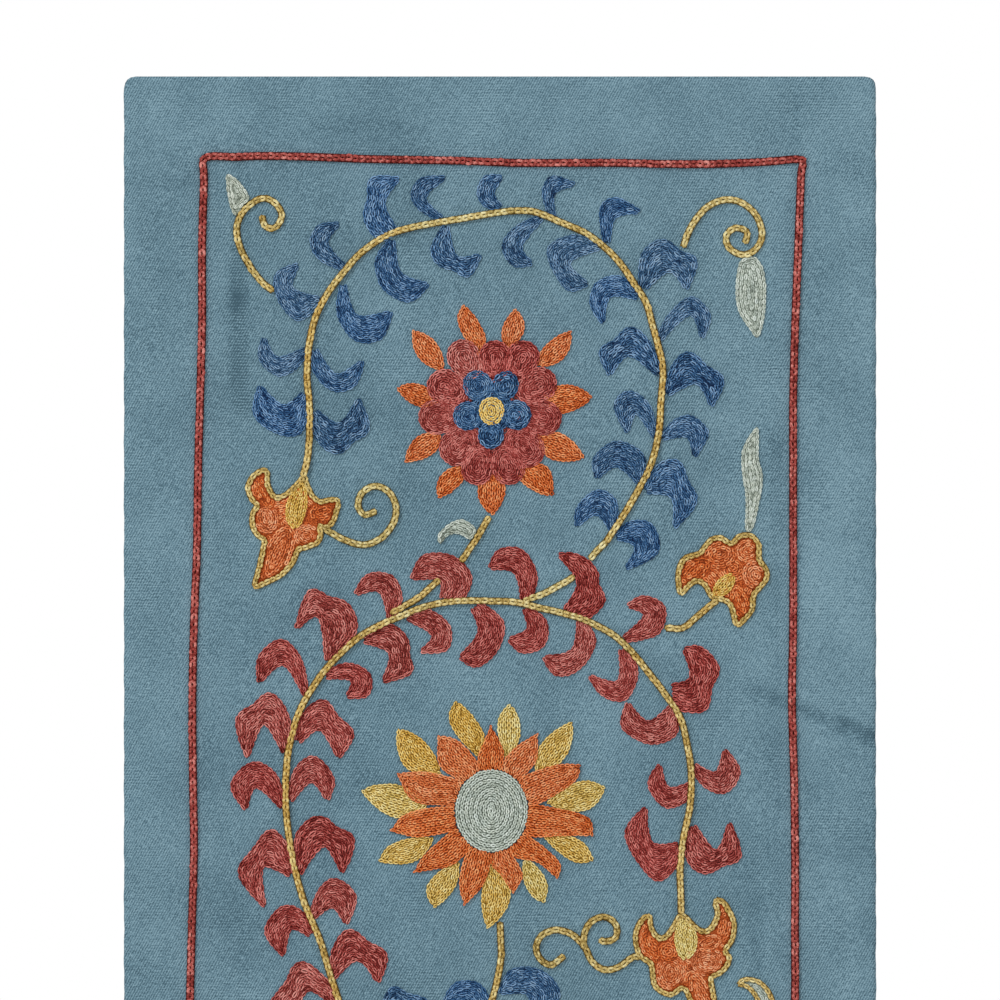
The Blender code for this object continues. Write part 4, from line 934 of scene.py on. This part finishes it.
class Value:
    """A number that nodes work out. Sums and products with it add the nodes they need."""

    def __init__(self, tree, socket):
        self.tree = tree
        self.socket = socket

    def by(self, operation, other=0.0):
        """The outcome of one operation on this number and another."""
        made = node(self.tree, "ShaderNodeMath", operation=operation)
        self.tree.links.new(self.socket, made.inputs[0])
        if isinstance(other, Value):
            self.tree.links.new(other.socket, made.inputs[1])
        else:
            made.inputs[1].default_value = other
        return Value(self.tree, made.outputs[0])

    def __add__(self, other):
        return self.by("ADD", other)

    def __sub__(self, other):
        return self.by("SUBTRACT", other)

    def __mul__(self, other):
        return self.by("MULTIPLY", other)


def noise(tree, place, **values):
    """The strength of a noise at a place."""
    made = node(tree, "ShaderNodeTexNoise", **values)
    tree.links.new(place, made.inputs["Vector"])
    return Value(tree, made.outputs["Fac"])


def kept_value(tree, key):
    """The number that the mesh keeps for its points."""
    return Value(tree, node(tree, "ShaderNodeAttribute", attribute_name=key).outputs["Fac"])


def reach_along(tree, place, way):
    """How far a place lies along a direction."""
    made = node(tree, "ShaderNodeVectorMath", operation="DOT_PRODUCT")
    made.inputs[1].default_value = way
    tree.links.new(place, made.inputs[0])
    return Value(tree, made.outputs["Value"])


def ramp(tree, value, stops):
    """A colour ramp; stops are place and linear red, green, blue."""
    made = tree.nodes.new("ShaderNodeValToRGB")
    points = made.color_ramp.elements
    while len(points) < len(stops):
        points.new(0.5)
    for point, (at, red, green, blue) in zip(points, stops):
        point.position = at
        point.color = (red, green, blue, 1.0)
    tree.links.new(value.socket, made.inputs["Fac"])
    return made.outputs["Color"]


def finish_cloth(tree, shader, colour, relief, bump, distance, roughness, specular):
    """The colour, fine relief and gloss of cloth or thread."""
    tree.links.new(colour, shader.inputs["Base Color"])
    raised = node(tree, "ShaderNodeBump", Strength=bump, Distance=distance)
    tree.links.new(relief.socket, raised.inputs["Height"])
    tree.links.new(raised.outputs["Normal"], shader.inputs["Normal"])
    shader.inputs["Roughness"].default_value = roughness
    shader.inputs["Specular IOR Level"].default_value = specular


# dark, middle and light of the cool ramp, then of the warm one: linear red, green, blue
# The whitish light stops stand partly for painted highlight of the silk's sheen; the dark stops take the
# painted shade of beds, grounds and loop roots.
THREADS = {
    "gold": (
        ((0.150, 0.090, 0.010), (0.560, 0.440, 0.155), (0.900, 0.830, 0.480)),
        ((0.135, 0.060, 0.004), (0.530, 0.315, 0.066), (0.850, 0.660, 0.255)),
    ),
    "blue": (
        ((0.001, 0.013, 0.060), (0.034, 0.122, 0.285), (0.220, 0.390, 0.630)),
        ((0.002, 0.018, 0.055), (0.062, 0.146, 0.245), (0.285, 0.420, 0.550)),
    ),
    "red": (
        ((0.090, 0.003, 0.002), (0.338, 0.041, 0.034), (0.700, 0.200, 0.172)),
        ((0.105, 0.008, 0.005), (0.452, 0.094, 0.076), (0.820, 0.370, 0.315)),
    ),
    "orange": (
        ((0.190, 0.020, 0.001), (0.690, 0.135, 0.022), (0.930, 0.390, 0.150)),
        ((0.220, 0.036, 0.004), (0.740, 0.205, 0.070), (0.950, 0.500, 0.280)),
    ),
    "yellow": (
        ((0.200, 0.090, 0.004), (0.720, 0.410, 0.060), (0.930, 0.710, 0.250)),
        ((0.230, 0.150, 0.014), (0.760, 0.580, 0.170), (0.950, 0.880, 0.480)),
    ),
    "pale": (
        ((0.100, 0.125, 0.105), (0.440, 0.520, 0.465), (0.750, 0.830, 0.780)),
        ((0.100, 0.115, 0.080), (0.470, 0.515, 0.410), (0.790, 0.830, 0.720)),
    ),
}
TONE_STOPS = (0.06, 0.50, 0.94)


def thread_material(name):
    """Loose silk thread: tone and warmth from each stitch, with fine flecks of its fibres; the tone also
    carries painted shade and painted highlight.
    """
    made, tree, shader = new_material(name + "_silk")
    place = tree.nodes.new("ShaderNodeTexCoord").outputs["Object"]
    fleck = noise(tree, place, Scale=1500.0, Detail=2.0)
    value = kept_value(tree, "tone") + (fleck - 0.5) * 1.5
    mix = node(tree, "ShaderNodeMix", data_type="RGBA")
    tree.links.new(kept_value(tree, "warm").socket, mix.inputs[0])
    for stops, socket in zip(THREADS[name], mix.inputs[6:8]):
        tree.links.new(ramp(tree, value, [(at, *c) for at, c in zip(TONE_STOPS, stops)]), socket)
    fibre = noise(tree, place, Scale=4200.0, Detail=2.0)
    finish_cloth(tree, shader, mix.outputs[2], fibre, 0.45, 0.00012, 0.45, 0.13)
    return made


TWILL_PITCH = 2.45 * STEP
TWILL_LEAN = math.radians(28.0)
WEFT_PITCH = 3.0 * STEP
YARN_LENGTH = 0.55
TWILL_COLOURS = (
    (0.0, 0.052, 0.105, 0.140), (0.28, 0.092, 0.172, 0.220), (0.5, 0.136, 0.240, 0.300),
    (0.75, 0.190, 0.315, 0.385), (1.0, 0.265, 0.410, 0.480),
)


def twill_material():
    """Faded blue twill: leaning ribs, uneven yarns, soft mottling, painted shade in the creases and
    folds, and lines of painted shade along wrinkles.
    """
    made, tree, shader = new_material("faded_twill")
    place = tree.nodes.new("ShaderNodeTexCoord").outputs["Object"]
    lean_x, lean_z = math.cos(TWILL_LEAN), math.sin(TWILL_LEAN)
    across = reach_along(tree, place, (lean_x, 0.0, -lean_z))
    along = reach_along(tree, place, (YARN_LENGTH * lean_z, 0.0, YARN_LENGTH * lean_x))
    height = reach_along(tree, place, (0.0, 0.0, 1.0))
    turned = tree.nodes.new("ShaderNodeCombineXYZ")
    tree.links.new(across.socket, turned.inputs["X"])
    tree.links.new(along.socket, turned.inputs["Z"])
    weft = node(tree, "ShaderNodeMapping", Scale=(0.30, 1.0, 1.0))
    tree.links.new(place, weft.inputs["Vector"])

    wobble = noise(tree, place, Scale=260.0, Detail=2.0)
    yarn = noise(tree, turned.outputs["Vector"], Scale=1500.0, Detail=3.0, Roughness=0.6)
    slub = noise(tree, weft.outputs["Vector"], Scale=1350.0, Detail=2.0)
    grain = noise(tree, place, Scale=1900.0, Detail=2.0, Roughness=0.7)
    patch = noise(tree, place, Scale=34.0, Detail=3.0)
    cloud = noise(tree, place, Scale=26.0, Detail=2.0, Roughness=0.5)

    rib = (across * (2 * math.pi / TWILL_PITCH) + wobble * 3.0).by("SINE")
    line = (height * (2 * math.pi / WEFT_PITCH) + wobble * 3.5).by("SINE")
    there = ((patch - 0.46) * 1.6).by("MAXIMUM", 0.0).by("MINIMUM", 0.30)
    # In the creases the lines grow stronger as painted shade along fine wrinkles, in colour and in
    # bumps.
    line = line * (there + kept_value(tree, "wrinkle_shade_lines"))
    # The colour takes away the painted shade of creases and folds, and gains their painted light where
    # it is below zero.
    value = (
        rib * 0.27 + 0.51 + (yarn - 0.5) * 1.1 + (slub - 0.5) * 1.0 + (grain - 0.5) * 2.4
        + (cloud - 0.5) * 0.54 + line * 0.55 - kept_value(tree, "shade"))
    relief = rib * 0.35 + yarn + line * 0.8
    finish_cloth(tree, shader, ramp(tree, value, TWILL_COLOURS), relief, 0.5, 0.00022, 0.92, 0.15)
    shader.inputs["Sheen Weight"].default_value = 0.10
    return made


# The cloth

CLOTH_CELL = 5.8
EDGE_THIN = 0.45
EDGE_REACH = 6.0
SWAY_REACH = 30.0
# Where dark lines of painted shade along fine wrinkles lie in the creases, over the weft's lines: two
# ends, half width, strength.
WRINKLE_SHADE_LINES = ((238, 245, 242, 400, 6, 0.55), (795, 180, 795, 520, 14, 0.12))


def past(distance, limit):
    """The part of the distances that goes beyond a limit, on both sides of zero."""
    return np.sign(distance) * np.maximum(np.abs(distance) - limit, 0.0)


def laid(table, u, v):
    """What the rows of a table, of two ends, half width and strength, add up to on the grid."""
    return sum(row[5] * bell(u, v, *row[:5]) for row in table)


def make_cloth():
    """The panel as a closed thin sheet with round corners, on the folds of its solid."""
    across = int(round(STEPS_WIDE / CLOTH_CELL))
    down = int(round(STEPS_LONG / CLOTH_CELL))
    left, low = MIDDLE_U - STEPS_WIDE / 2, TOP_V + STEPS_LONG
    u, v = np.meshgrid(
        np.linspace(left, left + STEPS_WIDE, across + 1), np.linspace(TOP_V, low, down + 1))
    edge = np.minimum(np.minimum(u - left, left + STEPS_WIDE - u), low - v)
    sway = 0.5 * np.sin(v * 0.11) + 0.4 * np.sin(v * 0.29 + u * 0.17)
    near = np.clip(1.0 - edge / SWAY_REACH, 0.0, 1.0)
    out_u = past(u - MIDDLE_U, STEPS_WIDE / 2 - CORNER)
    out_v = past(v - (TOP_V + STEPS_LONG / 2), STEPS_LONG / 2 - CORNER)
    far = np.maximum(np.hypot(out_u, out_v), 1e-9)
    draw = np.where((out_u != 0) & (out_v != 0), np.minimum(CORNER / far, 1.0), 1.0)
    u = u - out_u * (1 - draw) + sway * near * 0.5
    v = v - out_v * (1 - draw)
    rim = np.minimum(np.clip(edge / EDGE_REACH, 0.0, 1.0), np.clip((v - TOP_V) / EDGE_REACH, 0.0, 1.0))
    thin = EDGE_THIN + (1 - EDGE_THIN) * rim
    front = to_space(u, v, CLOTH_FRONT * thin)
    back = to_space(u, v, -CLOTH_BACK * thin)
    count = u.size
    cell = np.arange(count).reshape(u.shape)
    a, b, c, d = cell[:-1, :-1], cell[:-1, 1:], cell[1:, 1:], cell[1:, :-1]
    face = np.stack([a, d, c, b], axis=-1).reshape(-1, 4)
    around = np.concatenate([cell[0, :-1], cell[:-1, -1], cell[-1, :0:-1], cell[:0:-1, 0]])
    after = np.roll(around, -1)
    walls = np.stack([around, after, after + count, around + count], axis=-1)
    verts = np.vstack([front.reshape(-1, 3), back.reshape(-1, 3)])
    mesh = new_mesh("cloth_panel", verts, np.vstack([face, face[:, ::-1] + count, walls]))
    # Painted shade in the creases, uneven along them, plus the broad painted shade and light of SHADES.
    uneven = 0.75 + 0.25 * np.sin(v * 0.13 + u * 0.21) * np.sin(v * 0.045)
    creases = [(*ends, half, dark) for *ends, _, half, dark in CREASES]
    shade = uneven * laid(creases, u, v) + laid(SHADES, u, v)
    keep_values(mesh, "shade", np.tile(shade.ravel(), 2))
    keep_values(mesh, "wrinkle_shade_lines", np.tile(laid(WRINKLE_SHADE_LINES, u, v).ravel(), 2))
    mesh.materials.append(twill_material())
    cloth = placed("cloth_panel", mesh)
    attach(cloth, "root")
    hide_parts("ground_cloth")
    return cloth


silk = {name: thread_material(name) for name in THREADS}
cloth = make_cloth()


# Line round the field

border = Work()
border.row(curve(BORDER, closed=True), BORDER_ROW, LIFT_1, 0.39, 0.50, closed=True)
border.make("border", "red", "field_border")


# Arches

COVER_IN = 1.5


def leaf_shape(number):
    """The closed outline of one leaf of the second arch, a little smaller."""
    outer, back = leaf_edges(LEAVES_2[number])
    shape = np.vstack([outer, back[::-1]])
    return shape + COVER_IN * inward(shape)


# The leaves that lie over the foot of the first stem and over the first stalk.
COVERS = [leaf_shape(10), leaf_shape(2)]


def sew_leaves(number, colour, rows):
    """The hooked leaves of one arch; rows are a leaf and how far it is moved."""
    work = Work()
    for row, du, dv in rows:
        outer, back = leaf_edges(row, du, dv)
        kind = FINE if row[12] == 0 else FILL
        tone = 0.5 + rng.normal(0.0, 0.03)
        fill_between(work, outer, back, kind, LIFT_1, tone, rng.uniform(0.05, 0.6))
    work.make("arch_%d_leaf" % number, colour, "arch_%d_leaves" % number)


sew_leaves(1, "blue", [(row, 0, 0) for row in LEAVES_1])
sew_leaves(2, "red", [(row, 0, 0) for row in LEAVES_2])
sew_leaves(3, "blue", [(LEAVES_2[i], du, dv) for i, du, dv in LEAVES_3_FROM_2])


def sew_uncovered(work, points, tone, warm):
    """A gold line through the points, left out where a leaf lies over it."""
    line = curve(points)
    keep = ~np.any([inside(shape, line) for shape in COVERS], axis=0)
    for part, width, _ in cut(line, np.full(len(line), STEM[0]), False, keep, 2):
        work.row(part, STEM, LIFT_1, tone, warm, width)


def sew_stem(number, points, warmths, foot=None):
    """One arch's stem, cut in stretches of different warmth, from root to flower."""
    work = Work()
    line = curve(points)
    at = np.linspace(0, len(line) - 1, len(warmths) + 1).astype(int)
    for first, last, warm in zip(at[:-1], at[1:], warmths):
        work.row(line[first:last + 1], STEM, LIFT_2, 0.48, warm)
    nodes = ["arch_%d_stem" % number]
    if foot:
        sew_uncovered(work, foot, 0.52, 0.1)
        nodes.append("arch_%d_stem_foot" % number)
    work.make("arch_%d_stem" % number, "gold", *nodes)


sew_stem(1, STEM_1, (0.6, 0.8, 0.6, 0.3, 0.1, 0.5, 0.8, 0.7), FOOT_1)
sew_stem(2, STEM_2, (0.9, 0.8, 1.0, 0.7, 0.4, 0.3, 0.6, 0.7))
sew_stem(3, STEM_3, (0.6, 0.7, 0.8, 0.6, 0.3, 0.5, 0.6))


# Round flowers

LIFT_MORE = 0.0002
RING_UNDER = 51.0
RING_UNDER_ROWS = 8
RING_REACH = 9.0
CORE_HALF = 22.0
# How much longer and wider the blue petals are sewn than their table says.
PETAL_MORE = (1.2, 1.4)
# Where the inner petals grow from the pale disc and where two of them part, and the disc's oval.
PETAL_FOOT = 40.5
PETAL_PART = 51.0
DISC_OVAL = (0.94, 1.05)


def sew_petal(work, row, lift, kind, du=0.0, dv=0.0, blunt=False):
    """One petal, or a calyx with its blunt end last."""
    root, left, tip, right = (np.array(row[k:k + 2]) + (du, dv) for k in range(0, 8, 2))
    fill_between(work, *petal_edges(root, left, tip, right, blunt), kind, lift, warm=row[8])


def rosette_blue(number, du=0.0, dv=0.0):
    """Orange petals, a ring of round red petals, and a blue flower with a yellow disc."""
    name = "rosette_%d_" % number
    middle = (ROSETTE_1_MIDDLE[0] + du, ROSETTE_1_MIDDLE[1] + dv)
    petals, ring, flower, disc = Work(), Work(), Work(), Work()
    for row in PETALS_1:
        sew_petal(petals, row, LIFT_1, SHORT, du, dv)
    under = rings_inside(oval(*middle, RING_UNDER, RING_UNDER), FILL)[:RING_UNDER_ROWS]
    sew(ring, under, FILL, LIFT_1 + LIFT_MORE, 0.4, 0.4)
    for u, v, radius, warm in RING_PETALS:
        petal = egg(u + du, v + dv, radius, middle, RING_REACH)
        fill_round(ring, petal, FINE, LIFT_2, 0.54, warm - 0.15)
    fill_round(flower, oval(*middle, CORE_HALF, CORE_HALF), FINE, LIFT_2 + LIFT_MORE, 0.34, 0.3)
    for u, v, half_long, half_wide in FLOWER_PETALS:
        angle = math.degrees(math.atan2(v + dv - middle[1], u + du - middle[0]))
        petal = oval(u + du, v + dv, half_long + PETAL_MORE[0], half_wide + PETAL_MORE[1], angle)
        fill_round(flower, petal, FINE, LIFT_3, 0.46, 0.2)
    fill_round(disc, oval(*middle, DISC_1[1], DISC_1[0], 90.0), DOTS, LIFT_3, 0.60, 0.1)
    petals.make(name + "petal", "orange", name + "petals")
    ring.make(name + "ring", "red")
    flower.make(name + "flower", "blue")
    disc.make(name + "disc", "yellow")


def rosette_disc():
    """Yellow petals behind orange ones, round a large pale disc."""
    middle = np.array(ROSETTE_2_MIDDLE)
    outer, inner, disc = Work(), Work(), Work()
    for row in PETALS_2_OUTER:
        sew_petal(outer, row, LIFT_1, SHORT)
    tips = np.array([row[2:4] for row in PETALS_2_INNER])
    angles = np.unwrap(np.arctan2(tips[:, 1] - middle[1], tips[:, 0] - middle[0]))
    angles = np.append(angles, angles[0] + 2 * np.pi)
    between = (angles[:-1] + angles[1:]) / 2
    ways = np.stack([DISC_OVAL[0] * np.cos(between), DISC_OVAL[1] * np.sin(between)], axis=1)
    feet, meet = middle + PETAL_FOOT * ways, middle + PETAL_PART * ways
    for k, row in enumerate(PETALS_2_INNER):
        left, tip, right = row[:2], row[2:4], row[4:6]
        a = curve((feet[k - 1], meet[k - 1], left, tip), 8)
        b = curve((feet[k], meet[k], right, tip), 8)
        fill_between(inner, a, b, SHORT, LIFT_2, warm=row[6] - 0.20)
    fill_round(disc, oval(*middle, DISC_2[1], DISC_2[0], 90.0, 72), DOTS, LIFT_2, 0.48, 0.4)
    outer.make("rosette_2_outer", "yellow", "rosette_2_outer_petals")
    inner.make("rosette_2_inner", "orange", "rosette_2_inner_petals")
    disc.make("rosette_2_disc", "pale")


rosette_blue(1)
rosette_disc()
rosette_blue(3, ROSETTE_3_MIDDLE[0] - ROSETTE_1_MIDDLE[0], ROSETTE_3_MIDDLE[1] - ROSETTE_1_MIDDLE[1])


# Drooping flowers

def carnation(number, outline, parts, cup, du=0.0, dv=0.0):
    """A gold outline round orange parts, the later ones over the earlier, and a calyx."""
    name = "carnation_%d_" % number
    line = curve(moved(outline, du, dv), closed=True)
    edge, fill, calyx = Work(), Work(), Work()
    edge.row(line, OUTLINE, LIFT_1, 0.46, 0.55, closed=True)
    # The ground's low tone is painted shade between the rows.
    fill.pad(line, LIFT_1 + PAD_LIFT, 0.24, 0.2)
    shapes = [oval(u + du, v + dv, a, b, angle) for u, v, a, b, angle, _ in parts]
    sew(fill, clipped(rings_inside(line, TIGHT, 1.30), line, 3.6, shapes), TIGHT, LIFT_1, 0.5, 0.3)
    for k, shape in enumerate(shapes):
        rows = clipped(rings_inside(shape, TIGHT), line, 4.0, shapes[k + 1:])
        sew(fill, rows, TIGHT, LIFT_1, 0.5, parts[k][5])
    sew_petal(calyx, cup, LIFT_2, DOTS, du, dv, blunt=True)
    edge.make(name + "outline", "gold")
    fill.make(name + "fill", "orange")
    calyx.make(name + "calyx", "yellow")


carnation(1, CARNATION_1, PARTS_1, CUPS[0])
carnation(2, CARNATION_2, PARTS_2, CUPS[1])
carnation(3, CARNATION_3, PARTS_3, CUPS[2])
carnation(4, CARNATION_3, PARTS_3, CUPS[2], *CARNATION_4_MOVE)


# Curls, stalks and loose leaves

def sew_gold(name, lines, warm, tone=0.46, nodes=()):
    """Curls or stalks as one piece."""
    work = Work()
    for points in lines:
        sew_uncovered(work, points, tone, warm)
    work.make(name, "gold", *nodes)


sew_gold("curl_top_left", [CURL_TOP_LEFT], 0.4, 0.42)
sew_gold("curl_top_right", [CURL_TOP_RIGHT], 0.3, 0.50)
sew_gold("curl_1", [CURL_1], 0.15, 0.44)
sew_gold("curl_3", [((640, 958.5),) + CURL_3_LOW, CURL_3_HIGH], 0.30, 0.40)
sew_gold("curl_4", [moved(CURL_3_LOW[:6], *CARNATION_4_MOVE)], 0.4)
sew_gold("stalk", [STALK_1, STALK_2, STALK_3, STALK_CARNATION_2], 0.6,
         nodes=("stalk_1_low", "stalk_1_high", "stalk_2", "stalk_3", "stalk_carnation_2"))

for name, points, tone in (
    ("leaf_top_left", LEAF_TOP_LEFT, 0.46), ("leaf_right_upper", LEAF_RIGHT_UPPER, 0.50),
    ("leaf_right_lower", LEAF_RIGHT_LOWER, 0.46), ("leaf_small", LEAF_SMALL, 0.46),
):
    leaf = Work()
    shape = curve(points, 4, closed=True)
    fill_round(leaf, shape, CLOSE, LIFT_1, tone, rng.uniform(0.3, 0.6), PALE_GROUND_SHADE)
    leaf.make(name, "pale")

CRESCENT_IN = 2.5
crescent = curve(CRESCENT, 5, closed=True)
edge, fill = Work(), Work()
line = evenly_round(crescent, 60)
line = line + CRESCENT_IN * inward(line)
edge.row(line, OUTLINE, LIFT_1, 0.46, 0.55, width=5.6, closed=True)
# The ground's low tone is painted shade between the rows.
fill.pad(line, LIFT_1 + PAD_LIFT, 0.30, 0.1)
sew(fill, rings_inside(crescent, FINE, 1.9), FINE, LIFT_1, 0.45, 0.1)
edge.make("crescent_outline", "gold")
fill.make("crescent_fill", "pale")


# Camera, light and floor

PHOTO_SIDE = 1000.0
CAMERA_FAR = 3.0
SENSOR = 0.036

camera_data = bpy.data.cameras.new("camera")
camera_data.sensor_width = SENSOR * 1000
camera_data.lens = SENSOR * 1000 * CAMERA_FAR / (PHOTO_SIDE * STEP)
camera_data.clip_end = 50.0
camera = placed("camera", camera_data)
camera.location = (0.0, -CAMERA_FAR, -(PHOTO_SIDE / 2 - TOP_V) * STEP)
camera.rotation_euler = (math.pi / 2, 0.0, 0.0)
bpy.context.scene.camera = camera


def area_light(name, place, target, size, power):
    """A square light that faces its target."""
    data = bpy.data.lights.new(name, "AREA")
    data.shape = "SQUARE"
    data.size = size
    data.energy = power
    made = placed(name, data)
    made.location = place
    made.rotation_euler = (Vector(target) - Vector(place)).to_track_quat("-Z", "Y").to_euler()


area_light("key_light", (-2.6, -3.0, 2.4), (0.0, 0.0, -0.30), 1.0, 101.0)
area_light("fill_light", (1.8, -2.2, 0.3), (0.0, 0.0, -0.35), 1.6, 10.0)

FLOOR_HALF = 3.0
FLOOR_Z = -LENGTH - 0.30
corners = [(x * FLOOR_HALF, y * FLOOR_HALF, FLOOR_Z) for x, y in ((-1, -1), (1, -1), (1, 1), (-1, 1))]
floor_mesh = bpy.data.meshes.new("floor")
floor_mesh.from_pydata(corners, [], [(0, 1, 2, 3)])
floor_paint, _, floor_shader = new_material("pale_floor")
floor_shader.inputs["Base Color"].default_value = (0.82, 0.82, 0.81, 1.0)
floor_shader.inputs["Roughness"].default_value = 0.7
floor_mesh.materials.append(floor_paint)
placed("floor", floor_mesh)

WHITE = (1.0, 1.0, 1.0, 1.0)
WORLD_LIGHT = 0.55

# The world lights with a soft white, and the camera sees it as plain white.
world = bpy.data.worlds.new("studio")
bpy.context.scene.world = world
world.use_nodes = True
sky = world.node_tree
soft = sky.nodes["Background"]
plain = sky.nodes.new("ShaderNodeBackground")
for background, strength in ((soft, WORLD_LIGHT), (plain, 1.0)):
    background.inputs["Color"].default_value = WHITE
    background.inputs["Strength"].default_value = strength
seen = sky.nodes.new("ShaderNodeLightPath")
choose = sky.nodes.new("ShaderNodeMixShader")
sky.links.new(seen.outputs["Is Camera Ray"], choose.inputs["Fac"])
sky.links.new(soft.outputs["Background"], choose.inputs[1])
sky.links.new(plain.outputs["Background"], choose.inputs[2])
sky.links.new(choose.outputs["Shader"], sky.nodes["World Output"].inputs["Surface"])
bpy.context.scene.view_settings.view_transform = "Standard"
